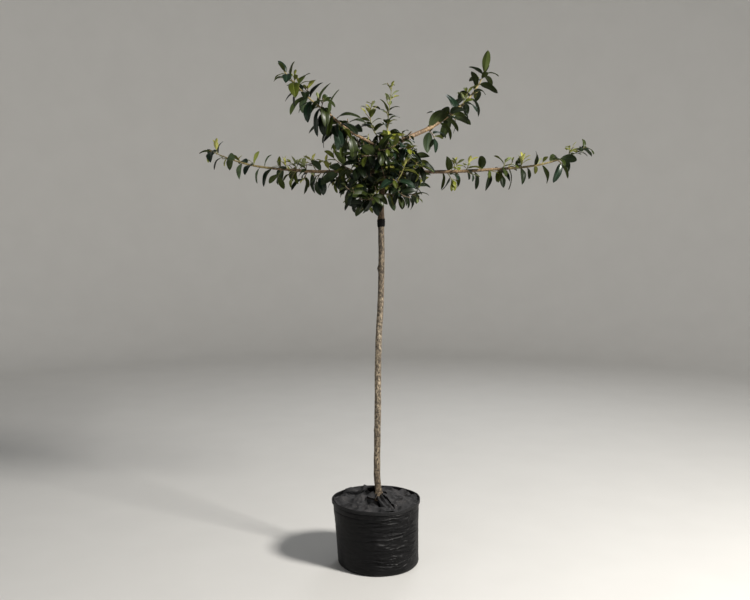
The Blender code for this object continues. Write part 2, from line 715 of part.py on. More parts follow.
def leaf_solid(name, leaf, collection):
    """A leaf as a flat eight-sided gem, its middle raised so that it arches as the leaf does."""
    work = bmesh.new()
    bmesh.ops.create_uvsphere(work, u_segments=4, v_segments=2, radius=1.0)
    chord = leaf.tip - leaf.root
    face = chord.normalized().cross(leaf.across)
    frame = Matrix((leaf.across * leaf.width * LEAF_HALF, face * LEAF_THICKNESS / 2, chord / 2)).transposed()
    arch = leaf_middle(leaf, 0.5) - (leaf.root + leaf.tip) / 2
    for vert in work.verts:
        raised = arch if abs(vert.co.z) < 0.5 else Vector()  # the ring between the two points
        vert.co = (leaf.root + leaf.tip) / 2 + frame @ vert.co + raised
    mesh = bpy.data.meshes.new(name)
    work.to_mesh(mesh)
    work.free()
    return link(name, mesh, collection)


def biggest_body(mesh):
    """Keeps a mesh's largest island of faces and drops the others, which a union leaves loose."""
    work = bmesh.new()
    work.from_mesh(mesh)
    left = set(work.verts)
    islands = []
    while left:
        island, edge = set(), [left.pop()]
        while edge:
            vert = edge.pop()
            island.add(vert)
            for other in (e.other_vert(vert) for e in vert.link_edges):
                if other in left:
                    left.discard(other)
                    edge.append(other)
        islands.append(island)
    islands.sort(key=len)
    loose = [vert for island in islands[:-1] for vert in island]
    bmesh.ops.delete(work, geom=loose, context="VERTS")
    work.to_mesh(mesh)
    work.free()


def join_all(base, others):
    """Joins a collection's solids to base by one Boolean, applies it and removes them."""
    join = base.modifiers.new("join", "BOOLEAN")
    join.operation = "UNION"
    join.solver = "MANIFOLD"
    join.operand_type = "COLLECTION"
    join.collection = others
    mesh = evaluated_mesh(base)
    base.modifiers.clear()
    base.data = mesh
    biggest_body(mesh)
    for other in list(others.objects):
        bpy.data.objects.remove(other)


def cut_clear(made, cutter):
    cut = made.modifiers.new("clear", "BOOLEAN")
    cut.operation = "DIFFERENCE"
    cut.solver = "EXACT"
    cut.object = cutter


# ---------------------------------------------------------------- the plant


def stem_solid(name, more, outlines, collection, finish=None):
    """The stem with its stub fused on, more metres thicker all over than life."""
    path = trunk_path()
    path[-1] += (path[-1] - path[-2]).normalized() * more
    column = Twig(path, [trunk_radius(p.z) + more for p in path])
    stem = tube(name, column, outlines["trunk"], collection, finish)
    stub = stub_twig()
    stub.path[-1] += (stub.path[-1] - stub.path[-2]).normalized() * more
    others = new_collection(name + "_pieces")
    tube(name + "_stub", Twig(stub.path, [r + more for r in stub.radii]), outlines["bough"], others)
    join_all(stem, others)
    bpy.data.collections.remove(others)
    return stem


def make_trunk(parts, cutters, outlines, finish):
    stem_solid("trunk", 0.0, outlines, parts, finish)
    cutter = stem_solid("trunk_clearance", CUT_GAP, outlines, cutters)
    cutter.hide_render = True
    cutter.display_type = "WIRE"
    return cutter


def make_boughs(parts, outline, cutter, finish):
    for name, limb in LIMBS.items():
        path = part_of(limb_path(limb, LIMB_STEPS), 0.0, limb.bough, BOUGH_STEPS)
        radii = limb_radii(limb, 0.0, limb.bough, BOUGH_STEPS)
        bough = tube("bough_" + name, Twig(path, radii), outline, parts, finish)
        cut_clear(bough, cutter)


def make_mass(name, mass, outlines, parts, cutter, finish):
    """One foliage node: the stem with every twig and leaf fused to it, clear of the trunk."""
    others = new_collection(name + "_pieces")
    base = tube("foliage_" + name, mass["stem"], outlines["stem"], parts, finish)
    if name not in LIMBS:
        cut_clear(base, cutter)
    for i, twig in enumerate(mass["twigs"]):
        tube(f"{name}_twig_{i}", twig, outlines["twig"], others)
    for i, leaf in enumerate(mass["leaves"]):
        leaf_solid(f"{name}_leaf_{i}", leaf, others)
    join_all(base, others)
    bpy.data.collections.remove(others)
    base.data.materials.clear()
    base.data.materials.append(finish)


def make_foliage(parts, outlines, cutter, finish):
    for name, mass in grow_crown().items():
        make_mass(name, mass, outlines, parts, cutter, finish)


# ---------------------------------------------------------------- the bag and what fills it


def turned(name, outline, parts, finish):
    """A shape turned round the upright axis from its outline, which runs down its outer side."""
    mesh = bpy.data.meshes.new(name)
    mesh.from_pydata([(r, 0.0, z) for r, z in outline], [(i, i + 1) for i in range(len(outline) - 1)], [])
    made = link(name, mesh, parts)
    spin = made.modifiers.new("spin", "SCREW")
    spin.steps = spin.render_steps = BAG_STEPS
    spin.use_merge_vertices = True
    spin.merge_threshold = 1e-5
    solid = welded_mesh(made)
    solid.transform(Matrix(((1, 0, BAG_LEAN, 0), (0, 1, 0, 0), (0, 0, 1, 0), (0, 0, 0, 1))))
    solid.materials.append(finish)
    made.modifiers.clear()
    made.data = solid
    return made


def bag_radius(height):
    """The bag's outer radius: rounded at the foot, nearly upright, a little wider at the rim."""
    if height < BAG_FOOT_ROUNDING:
        lift = math.sqrt(1 - (1 - height / BAG_FOOT_ROUNDING) ** 2)
        return BAG_FOOT_RADIUS + (BAG_LOW_RADIUS - BAG_FOOT_RADIUS) * lift
    share = (height - BAG_FOOT_ROUNDING) / (BAG_HEIGHT - BAG_FOOT_ROUNDING)
    return BAG_LOW_RADIUS + (BAG_RIM_RADIUS - HEM_PROUD - BAG_LOW_RADIUS) * share


def bag_heights():
    """The heights at which the bag's outline has a corner, up to the hem's foot."""
    quarter = math.pi / 2
    rounding = [BAG_FOOT_ROUNDING * (1 - math.cos(quarter * k / FOOT_STEPS)) for k in range(FOOT_STEPS + 1)]
    rise = BAG_HEIGHT - HEM_HEIGHT - BAG_FOOT_ROUNDING
    wall = [BAG_FOOT_ROUNDING + rise * k / WALL_STEPS for k in range(1, WALL_STEPS + 1)]
    return rounding + wall


def make_bag(parts, finish):
    """An open bag: outer wall with a hem band at its rim, and the inside at one wall's thickness."""
    outer = [(bag_radius(height), height) for height in bag_heights()]
    hem_foot = outer[-1][1]
    rim = bag_radius(BAG_HEIGHT)
    hem = [(outer[-1][0] + HEM_PROUD, hem_foot + HEM_BEVEL), (rim + HEM_PROUD, BAG_HEIGHT - HEM_BEVEL)]
    lip = [(rim + HEM_PROUD - HEM_BEVEL, BAG_HEIGHT), (rim - BAG_WALL + HEM_BEVEL, BAG_HEIGHT)]
    inner = [(rim - BAG_WALL, BAG_HEIGHT - HEM_BEVEL)]
    inner += [(radius - BAG_WALL, max(height, BAG_WALL)) for radius, height in reversed(outer)]
    outline = [(0.0, 0.0)] + outer + hem + lip + inner + [(0.0, BAG_WALL)]
    turned("grow_bag", outline[::-1], parts, finish)


def soil_height(radius):
    """The soil is level round the stem and falls away towards the bag's wall."""
    edge = bag_radius(SOIL_EDGE_HEIGHT) - BAG_WALL
    share = max(0.0, radius - SOIL_FLAT_RADIUS) / (edge - SOIL_FLAT_RADIUS)
    return SOIL_CROWN_HEIGHT + (SOIL_EDGE_HEIGHT - SOIL_CROWN_HEIGHT) * share


def make_root_ball(parts, finish):
    """The soil, from just inside the bag's floor and wall up to its own top."""
    wall = BAG_WALL + GAP
    heights = [height for height in bag_heights() if height < SOIL_EDGE_HEIGHT]
    sides = [(bag_radius(height) - wall, max(height, wall)) for height in heights]
    edge = bag_radius(SOIL_EDGE_HEIGHT) - wall
    radii = [edge - (edge - SOIL_FLAT_RADIUS) * k / SOIL_RINGS for k in range(SOIL_RINGS + 1)]
    top = [(radius, soil_height(radius)) for radius in radii]
    outline = [(0.0, wall)] + sides + top + [(0.0, SOIL_CROWN_HEIGHT)]
    turned("root_ball", outline[::-1], parts, finish)


def make_mat(parts, finish):
    """The weed mat on the soil: a disc with a hole for the stem, crumpled upwards."""
    edge = bag_radius(SOIL_EDGE_HEIGHT) - BAG_WALL - MAT_EDGE_CLEARANCE
    radii = [MAT_HOLE_RADIUS + (edge - MAT_HOLE_RADIUS) * k / MAT_RINGS for k in range(MAT_RINGS + 1)]
    under = [(r, soil_height(r) + MAT_LIFT) for r in radii]
    over = [(r, z + MAT_THICKNESS) for r, z in reversed(under)]
    mat = turned("weed_mat", (under + over + under[:1])[::-1], parts, finish)
    aside = TRUNK_LEAN[0][1] - BAG_LEAN * SOIL_CROWN_HEIGHT  # the stem stands off the bag's axis
    highest = sum(share for _, _, _, share in MAT_WAVES)
    for vert in mat.data.vertices:
        x, y = vert.co.x - BAG_LEAN * vert.co.z, vert.co.y
        radius = math.hypot(x, y)
        shift = aside * (edge - radius) / (edge - MAT_HOLE_RADIUS)
        vert.co.x += shift
        vert.co.z += soil_height(math.hypot(x + shift, y)) - soil_height(radius)
        wave = sum(share * math.sin(k_x * x + k_y * y + phase) for k_x, k_y, phase, share in MAT_WAVES)
        vert.co.z += MAT_CRUMPLE * (wave + highest) / (2 * highest)


def main():
    clear_scene()
    parts = new_collection("potted_standard_photinia")
    cutters = new_collection("cutters", hidden=True)
    bark = material("bark", (0.22, 0.17, 0.13), 0.85)
    leaf = material("leaf", (0.03, 0.09, 0.03), 0.40)
    fabric = material("bag_fabric", (0.012, 0.012, 0.013), 0.55)
    soil = material("soil", (0.09, 0.06, 0.04), 0.95)
    mat = material("weed_mat", (0.05, 0.048, 0.052), 0.80)
    outlines = {
        "trunk": ring_profile(10, cutters),
        "bough": ring_profile(8, cutters),
        "stem": ring_profile(6, cutters),
        "twig": ring_profile(3, cutters),
    }
    make_bag(parts, fabric)
    make_root_ball(parts, soil)
    make_mat(parts, mat)
    cutter = make_trunk(parts, cutters, outlines, bark)
    make_boughs(parts, outlines["bough"], cutter, bark)
    make_foliage(parts, outlines, cutter, leaf)


main()
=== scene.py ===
"""How the potted standard photinia looks: bark, twigs, leaves, the soft grow bag and the weed mat.

Metres, +Z up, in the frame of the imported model. The crown grows here by the source's own rule, seed for seed,
and is then carried to finer shoots within the same reach."""

import math
import random
from collections import namedtuple

import bpy
import numpy as np
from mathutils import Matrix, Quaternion, Vector, noise
from mathutils.bvhtree import BVHTree


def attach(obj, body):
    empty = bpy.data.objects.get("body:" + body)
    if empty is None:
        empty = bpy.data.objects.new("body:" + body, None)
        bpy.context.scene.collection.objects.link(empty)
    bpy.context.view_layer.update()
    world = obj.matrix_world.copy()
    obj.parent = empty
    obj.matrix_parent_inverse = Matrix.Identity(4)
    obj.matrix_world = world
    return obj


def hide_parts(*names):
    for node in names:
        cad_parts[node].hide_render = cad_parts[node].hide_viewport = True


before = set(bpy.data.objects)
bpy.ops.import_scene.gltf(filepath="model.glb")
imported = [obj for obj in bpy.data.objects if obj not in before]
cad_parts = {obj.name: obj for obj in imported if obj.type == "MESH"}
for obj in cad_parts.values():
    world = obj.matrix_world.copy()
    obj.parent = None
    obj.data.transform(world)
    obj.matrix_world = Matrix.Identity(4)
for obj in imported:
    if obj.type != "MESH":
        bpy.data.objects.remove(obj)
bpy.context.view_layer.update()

GAP = 0.0003  # air left between two pieces that touch on the real plant
JOINT_GAP = 0.0006  # the same where a limb goes on past its bare wood, as its line bends there
UP = Vector((0.0, 0.0, 1.0))
DOWN = -UP

# The grow bag, a 35 litre size: 400 mm across its rim and 303 mm tall.
BAG_HEIGHT = 0.303
BAG_FOOT_RADIUS = 0.168
BAG_LOW_RADIUS = 0.187
BAG_RIM_RADIUS = 0.200
BAG_WALL = 0.003
BAG_FOOT_ROUNDING = 0.022
HEM_HEIGHT = 0.013
HEM_PROUD = 0.0015
BAG_LEAN = -0.040  # how far the bag's axis goes sideways for each metre of height

# What fills it.
SOIL_EDGE_HEIGHT = 0.281
SOIL_CROWN_HEIGHT = 0.300
SOIL_FLAT_RADIUS = 0.044

# The stem: heights, and how far its middle is off the origin there.
TRUNK_FOOT_HEIGHT = SOIL_CROWN_HEIGHT + GAP
TRUNK_LEAN = (
    (TRUNK_FOOT_HEIGHT, 0.004, 0.0),
    (0.40, -0.006, 0.0),
    (0.75, -0.003, 0.0),
    (1.00, -0.001, 0.0),
    (1.20, 0.009, 0.0),
    (1.40, 0.013, 0.0),
    (1.60, 0.011, 0.0),
    (1.70, 0.014, 0.0),
    (1.80, 0.026, 0.0),
    (1.85, 0.034, 0.0),
    (1.90, 0.041, 0.002),
)
TRUNK_STEPS = 28
FLARE_STEPS = 4
FLARE_HEIGHT = 0.045
FLARE = 0.0065
STEM_RADIUS_LOW = 0.0152
STEM_RADIUS_HIGH = 0.0135
GRAFT_HEIGHT = 1.562
GRAFT_SWELLING = 0.0022
GRAFT_SPREAD = 0.030
LEADER_RADIUS = 0.0114

# The cut leader, a short stub that leaves the fork to the left.
STUB_LINE = ((0.034, 0.001, 1.862), (0.019, 0.003, 1.884), (0.009, 0.002, 1.908), (0.006, 0.0, 1.942))
STUB_RADIUS = (0.0072, 0.0056)

Limb = namedtuple("Limb", "start heading length pitch power radius bough sway")
# start: where its middle line begins, inside the stem. heading: degrees round from +X.
# pitch: degrees above level at its two ends. power: over 1 it turns up late. bough: the length that is bare
# wood. sway: how many degrees it winds.
LIMBS = {
    "left": Limb((0.019, 0.010, 1.782), 171.0, 0.805, (0.5, 27.0), 3.0, (0.0080, 0.0014), 0.175, 1.2),
    "right": Limb((0.024, 0.010, 1.774), -9.8, 0.885, (1.5, 34.0), 5.0, (0.0082, 0.0014), 0.245, 1.2),
    "upper_left": Limb((0.036, -0.001, 1.868), 225.5, 0.655, (17.0, 37.0), 1.2, (0.0062, 0.0014), 0.190, 2.5),
    "upper_right": Limb((0.037, 0.000, 1.887), 39.5, 0.735, (21.0, 60.0), 2.6, (0.0105, 0.0015), 0.250, 1.8),
}
TOP_SHOOTS = {
    "top_left": Limb((0.006, 0.000, 1.931), 184.0, 0.165, (25.0, 108.0), 0.6, (0.0030, 0.0012), 0.0, 0.0),
    "top_right": Limb((0.032, -0.006, 1.886), 15.0, 0.275, (86.0, 82.0), 1.0, (0.0034, 0.0011), 0.0, 2.0),
}

# The head round the leader: stems leave it by turns, the lowest drooping and the highest rising.
CENTRE_STEMS = 12
CENTRE_LOW = 1.668
CENTRE_HIGH = 1.868
CENTRE_FIRST_HEADING = 240.0
CENTRE_STEM_LENGTH = 0.170
CENTRE_STEM_RADIUS = (0.0040, 0.0020)
CENTRE_LOW_PITCH = (-8.0, 2.0)  # degrees above level at the two ends of the lowest stem
CENTRE_HIGH_PITCH = (18.0, 38.0)
CENTRE_SWAY = 3.0
STEM_TURNS = (0, 15, -15, 30, -30, 45, -45, 60, -60)  # degrees
STEM_CLEAR_FROM = 0.011  # a stem is inside the trunk up to here
FIT_MARGIN = 0.0008
SHORT_STEPS = 6
HEAD_MIDDLE = Vector((0.012, 0.0, 1.775))
HEAD_REACH = Vector((0.285, 0.245, 0.200))
SECTOR = math.radians(58.0)
SECTOR_FROM = 0.07  # nearer the leader than this, a stem's leaves may go all round
ARM_REACH = 0.150
ARM_BACK_REACH = 0.035  # how far an arm's leaves reach back over its bare bough
ARM_SHOOT_WAY = (0.8, 0.6)  # a short shoot's shares of outwards and onwards
ARM_LEAF_TURN = 0.3
ARM_LEAF_GAPS = (0.7, 1.3)
TIP_LEAF_GAP = 0.004
TIP_TRIES = 12
SHOOT_REACH = 0.110
SHOOT_LOWEST = 1.90

# Leaves, by age. length is in metres and width a share of it. splay is how many degrees a leaf stands off
# its twig, droop how strongly its outer part hangs, and hook how far along it bends.
Age = namedtuple("Age", "length width splay droop hook")
AGES = {
    "old": Age(0.090, 0.40, (45, 80), (0.7, 2.0), (0.25, 0.45)),
    "mid": Age(0.070, 0.38, (35, 65), (0.2, 0.9), (0.35, 0.55)),
    "young": Age(0.052, 0.32, (18, 45), (0.0, 0.25), (0.45, 0.6)),
    "raised": Age(0.078, 0.34, (8, 30), (0.0, 0.15), (0.45, 0.6)),
}
GOLDEN_TURN = math.radians(137.5)
LEAF_LENGTHS = (0.75, 1.20)  # the shortest and longest leaf, against its age's length
LEAF_WIDTHS = (0.88, 1.12)
LEAF_TILT = 22.0  # degrees either way that a leaf turns about its own line
FACE_UP = 0.8  # a leaf's upper side looks up, and a little along its twig
FACE_AHEAD = 0.5
FACE_LOOSE = 0.4
TIP_TURN = 0.25
LEVEL_DROOP = 0.70
RISING_DROOP = 0.45  # a leaf that starts upwards hangs less
LEAF_THICKNESS = 0.0022  # that of the spindle that a leaf is tested with
# How far along the spindle its two rings are, and their half widths.
SPINDLE_RINGS = ((0.35, 0.57), (0.70, 0.52))
SPINDLE_FROM = 0.03
LEAF_TURNS = 0.5  # radians more either way that each further try may turn a leaf
TWIG_RADIUS = (0.0023, 0.0015)
TWIG_PITCHES = (-80.0, 88.0)  # degrees: a twig's end points no lower and no higher
TWIG_SWAYS = (1.0, 5.0)
TWIG_CLEAR_FROM = 0.006  # a twig is inside what it grows from up to here
TWIG_MARGIN = 0.0006
TWIG_LEAVES_FROM = 0.30
TWIG_LEAVES_RUN = 0.65
TWIG_LEAVES_CROWD = 0.8  # under 1 the leaves stand closer together towards the tip
TWIG_SMALLER = 0.25  # how much smaller its last leaf is
LIMB_TAPER = 1.25  # over 1 a limb keeps its girth at first and thins faster later
LIMB_STEPS = 24
BOUGH_STEPS = 8
ARM_STEPS = 14
TWIG_STEPS = 3

# What grows on each arm past its bare bough. shoots: short side shoots, each with its share of the way to
# the tip, its turn round the arm in degrees from straight up, its length, how many degrees it turns up,
# its leaf count and their ages from its foot to its tip. size is for all its leaves. first and gap space the
# single leaves, old is the share of the way up to which those are old, and tip lists the last leaves, each
# with its age and size.
Habit = namedtuple("Habit", "seed size first gap old shoots tip")
ARM_HABITS = {
    "left": Habit(
        106, 0.95, 0.020, 0.029, 0.95,
        (
            (0.02, 170, 0.055, -25, 5, ("old",)),
            (0.10, 20, 0.050, 15, 4, ("mid", "young")),
            (0.16, 195, 0.050, -20, 4, ("old",)),
            (0.20, 15, 0.060, 20, 6, ("mid", "young")),
            (0.27, 350, 0.036, 20, 5, ("young",)),
            (0.34, 15, 0.034, 20, 5, ("young",)),
            (0.41, 340, 0.030, 10, 4, ("young",)),
            (0.26, 170, 0.045, -20, 3, ("old",)),
            (0.34, 200, 0.030, -10, 3, ("mid",)),
            (0.45, 165, 0.040, -25, 3, ("mid",)),
            (0.95, 10, 0.045, 30, 3, ("young",)),
        ),
        (("old", 0.95), ("old", 0.95), ("raised", 0.95)),
    ),
    "right": Habit(
        48, 0.95, 0.015, 0.028, 0.85,
        (
            (0.05, 190, 0.055, -15, 5, ("old", "mid")),
            (0.10, 15, 0.040, 20, 4, ("mid", "young")),
            (0.18, 345, 0.045, 20, 4, ("mid", "young")),
            (0.22, 40, 0.115, 22, 6, ("mid", "mid", "young")),
            (0.43, 10, 0.030, 15, 4, ("mid", "young")),
            (0.55, 355, 0.035, 20, 5, ("young",)),
            (0.40, 165, 0.040, -15, 2, ("old",)),
            (0.80, 175, 0.030, -10, 3, ("old",)),
            (0.88, 10, 0.035, 20, 3, ("mid",)),
        ),
        (("old", 0.90), ("mid", 0.95), ("mid", 0.95), ("mid", 0.95)),
    ),
    "upper_left": Habit(
        92, 1.15, 0.010, 0.014, 0.80,
        (
            (0.04, 150, 0.060, -10, 5, ("old",)),
            (0.10, 20, 0.045, 15, 4, ("old",)),
            (0.25, 190, 0.050, -20, 4, ("old",)),
            (0.45, 70, 0.050, 10, 4, ("old",)),
            (0.50, 290, 0.050, 10, 4, ("old",)),
            (0.65, 30, 0.050, 20, 4, ("old", "mid")),
        ),
        (("mid", 1.10), ("mid", 0.80), ("raised", 0.65)),
    ),
    "upper_right": Habit(
        102, 1.05, 0.015, 0.020, 0.90,
        (
            (0.02, 185, 0.070, -30, 4, ("old",)),
            (0.22, 20, 0.040, 10, 4, ("old", "mid")),
            (0.35, 180, 0.040, -10, 3, ("old",)),
            (0.62, 10, 0.040, 15, 4, ("mid",)),
        ),
        (("old", 1.05), ("mid", 1.15), ("raised", 1.20), ("raised", 1.25)),
    ),
}
CENTRE_SEEDS = (31, 106, 79, 95, 91, 49, 59, 72, 94, 24, 112, 79)
CENTRE_TWIGS = (4, 0.16, 0.80)  # how many, from what share of the stem, and over what share
CENTRE_TWIG_WAY = (0.85, 0.5)
CENTRE_TWIG_LENGTHS = (0.055, 0.110)
CENTRE_TWIG_LIFTS = (-10, 30)
CENTRE_OLD_SHARE = 0.75  # the share of twigs with no young leaves
CENTRE_LEAVES = 6
CENTRE_STEM_LEAVES = (5, 0.30, 0.67)
CENTRE_TRIES = 8
TOP_SEEDS = {"top_left": 105, "top_right": 132}
TOP_LEAVES = 11
TOP_LEAVES_FROM = 0.22
TOP_LEAVES_RUN = 0.75
TOP_YOUNG_FROM = 0.6
TOP_SMALLER = 0.35


# ---- small helpers


def mix(low, high, share):
    return low + (high - low) * share


def bell(*values):
    """1 where every value is nothing, and falling off smoothly as any of them grows."""
    return math.exp(-sum(value**2 for value in values))


def between(heading, facing):
    """The degrees from one way round to another, from -180 to 180."""
    return (heading - facing + 180.0) % 360.0 - 180.0


def spread(count, start, run):
    """Shares of the way, spread evenly."""
    return [start + run * i / (count - 1) for i in range(count)]


def wobble(x, y, z):
    return noise.noise(Vector((x, y, z)))


def girth(limb, share, taper_power):
    return mix(limb.radius[0], limb.radius[1], share**taper_power)


def sheet(rows, columns, place, closed=True, flipped=False, looped=False):
    """Verts and faces of a sheet whose points are place(row, column).

    closed joins each row's two ends, looped the last row to the first, and flipped turns the faces over."""
    width = columns if closed else columns + 1
    lines = rows if looped else rows + 1
    verts = [place(i, k) for i in range(lines) for k in range(width)]
    faces = []
    for i in range(rows):
        for k in range(columns):
            a, b = i * width + k, i * width + (k + 1) % width
            c, d = (b + width) % len(verts), (a + width) % len(verts)
            faces.append((a, d, c, b) if flipped else (a, b, c, d))
    return verts, faces


# ---- paths


def limb_path(limb, steps):
    """The middle line of a limb, as steps + 1 points at equal distances."""
    point = Vector(limb.start)
    path = [point]
    for i in range(steps):
        share = (i + 0.5) / steps
        pitch = mix(*limb.pitch, share**limb.power)
        pitch += limb.sway * math.sin(share * 17.0)
        heading = limb.heading + limb.sway * 1.5 * math.cos(share * 13.0)
        point = point + direction(heading, pitch) * (limb.length / steps)
        path.append(point)
    return path


def direction(heading, pitch):
    turn, rise = math.radians(heading), math.radians(pitch)
    return Vector((math.cos(turn) * math.cos(rise), math.sin(turn) * math.cos(rise), math.sin(rise)))


def along(path, distance):
    """The point and the direction that far along a path, whose steps are all equal."""
    step = (path[1] - path[0]).length
    place = min(max(distance / step, 0.0), len(path) - 1.001)
    i = int(place)
    ahead = path[i + 1] - path[i]
    return path[i] + ahead * (place - i), ahead.normalized()


def part_of(path, start, end, steps):
    return [along(path, place)[0] for place in spread(steps + 1, start, end - start)]


def taper(radius, steps):
    return spread(steps + 1, radius[0], radius[1] - radius[0])


def trunk_path():
    """The stem's middle line: a smooth curve through TRUNK_LEAN, in short steps at the flare."""
    low, high = TRUNK_LEAN[0][0] + FLARE_HEIGHT, TRUNK_LEAN[-1][0]
    heights = [TRUNK_FOOT_HEIGHT + FLARE_HEIGHT * (k / FLARE_STEPS) ** 1.5 for k in range(FLARE_STEPS)]
    heights += spread(TRUNK_STEPS + 1, low, high - low)
    path = []
    for height in heights:
        k = max(j for j in range(len(TRUNK_LEAN) - 1) if TRUNK_LEAN[j][0] <= height + 1e-9)
        before, here = TRUNK_LEAN[max(k - 1, 0)], TRUNK_LEAN[k]
        there, after = TRUNK_LEAN[k + 1], TRUNK_LEAN[min(k + 2, len(TRUNK_LEAN) - 1)]
        run = there[0] - here[0]
        t = (height - here[0]) / run
        spot = []
        for axis in (1, 2):
            leave = (there[axis] - before[axis]) / (there[0] - before[0]) * run
            arrive = (after[axis] - here[axis]) / (after[0] - here[0]) * run
            spot.append(
                (2 * t**3 - 3 * t**2 + 1) * here[axis]
                + (t**3 - 2 * t**2 + t) * leave
                + (3 * t**2 - 2 * t**3) * there[axis]
                + (t**3 - t**2) * arrive
            )
        path.append(Vector((spot[0], spot[1], height)))
    path[0].xy = path[1].xy  # the lowest step is upright, so that the foot is cut level
    return path


def trunk_radius(height):
    """True taper, with the flare at the foot and the swollen graft."""
    share = (height - TRUNK_FOOT_HEIGHT) / (GRAFT_HEIGHT - TRUNK_FOOT_HEIGHT)
    if share <= 1:
        radius = mix(STEM_RADIUS_LOW, STEM_RADIUS_HIGH, share)
    else:
        share = (height - GRAFT_HEIGHT) / (TRUNK_LEAN[-1][0] - GRAFT_HEIGHT)
        radius = mix(STEM_RADIUS_HIGH, LEADER_RADIUS, share)
    flare = FLARE * max(0.0, 1 - (height - TRUNK_FOOT_HEIGHT) / FLARE_HEIGHT) ** 2
    return radius + flare + GRAFT_SWELLING * bell((height - GRAFT_HEIGHT) / GRAFT_SPREAD)


def stub_twig():
    path = [Vector(point) for point in STUB_LINE]
    return Twig(path, taper(STUB_RADIUS, len(path) - 1))


# ---- the rule that the foliage grows by

# A leaf's middle line is the curve from root towards bend and then to tip. across is its width's direction.
Leaf = namedtuple("Leaf", "root bend tip across width age")
Twig = namedtuple("Twig", "path radii")


class Filled:
    """What already fills the crown. A new twig or leaf stays clear of it."""

    def __init__(self):
        self.solids = []

    def fits(self, corners, faces, *its_own):
        middle, radius = ball(corners)
        tree = None
        for name, other_middle, other_radius, other in self.solids:
            if name in its_own or (other_middle - middle).length > radius + other_radius:
                continue
            tree = tree or BVHTree.FromPolygons(corners, faces)
            if tree.overlap(other):
                return False
        return True

    def add(self, name, corners, faces):
        self.solids.append((name, *ball(corners), BVHTree.FromPolygons(corners, faces)))


def ball(corners):
    middle = sum(corners, Vector()) / len(corners)
    return middle, max((corner - middle).length for corner in corners)


def way_at(path, i):
    """The way that a path runs at its point i."""
    return (path[min(i + 1, len(path) - 1)] - path[max(i - 1, 0)]).normalized()


def rough_tube(path, radii, more, sides=5):
    """Corners and faces of a tube round a path, for the test of what fits."""

    def place(i, k):
        ahead = way_at(path, i)
        turned = Quaternion(ahead, math.tau * k / sides) @ ahead.orthogonal().normalized()
        return path[i] + turned * (radii[i] + more)

    return sheet(len(path) - 1, sides, place)


def leaf_middle(leaf, t):
    return leaf.root * (1 - t) ** 2 + leaf.bend * (2 * t * (1 - t)) + leaf.tip * t * t


def rough_leaf(leaf):
    """Corners and faces of a slim spindle round a leaf, a little fuller than it, to test what fits."""
    chord = (leaf.tip - leaf.root).normalized()
    face = leaf.across.cross(chord)
    corners = [leaf_middle(leaf, SPINDLE_FROM)]
    for t, share in SPINDLE_RINGS:
        middle = leaf_middle(leaf, t)
        wide = leaf.across * leaf.width * share
        thick = face * LEAF_THICKNESS
        corners += [middle + wide, middle + thick, middle - wide, middle - thick]
    corners.append(leaf.tip)
    faces = []
    for k in range(4):
        n = (k + 1) % 4
        faces += [(0, 1 + n, 1 + k), (1 + k, 1 + n, 5 + n, 5 + k), (9, 5 + k, 5 + n)]
    return corners, faces


def side_of(ahead, turn):
    """The direction at right angles to ahead, turn radians round from the highest one."""
    high = UP - ahead * UP.dot(ahead)
    high = ahead.orthogonal() if high.length < 0.05 else high
    return Quaternion(ahead, turn) @ high.normalized()


def grow_leaf(draw, age, root, ahead, turn, size=1.0):
    """One leaf from root on a twig that points ahead. It arches away from the twig and hangs by its age."""
    kind = AGES[age]
    length = kind.length * size * draw.uniform(*LEAF_LENGTHS)
    splay = math.radians(draw.uniform(*kind.splay))
    out = side_of(ahead, turn)
    start = out * math.sin(splay) + ahead * math.cos(splay)
    loose = Vector((draw.uniform(-FACE_LOOSE, FACE_LOOSE), draw.uniform(-FACE_LOOSE, FACE_LOOSE), 0.0))
    face = UP * FACE_UP + ahead * FACE_AHEAD + loose
    face = (face - start * face.dot(start)).normalized()
    droop = draw.uniform(*kind.droop) * (LEVEL_DROOP - RISING_DROOP * start.z)
    end = (start - face * TIP_TURN + DOWN * droop).normalized()
    hook = draw.uniform(*kind.hook)
    bend = root + start * length * hook
    tip = bend + end * length * (1 - hook)
    chord = (tip - root).normalized()
    across = start.cross(face)
    across = (across - chord * across.dot(chord)).normalized()
    across = Quaternion(chord, math.radians(draw.uniform(-LEAF_TILT, LEAF_TILT))) @ across
    return Leaf(root, bend, tip, across, length * kind.width * draw.uniform(*LEAF_WIDTHS), age)


def grow_shoot(draw, start, ahead, length, radius, lift):
    """A side twig. It turns up by lift degrees on its way, or down where lift is below nothing."""
    heading = math.degrees(math.atan2(ahead.y, ahead.x))
    pitch = math.degrees(math.asin(max(-1.0, min(1.0, ahead.z))))
    end = max(TWIG_PITCHES[0], min(TWIG_PITCHES[1], pitch + lift))
    limb = Limb(start, heading, length, (pitch, end), 1.0, radius, 0.0, draw.uniform(*TWIG_SWAYS))
    return Twig(limb_path(limb, TWIG_STEPS), taper(radius, TWIG_STEPS))


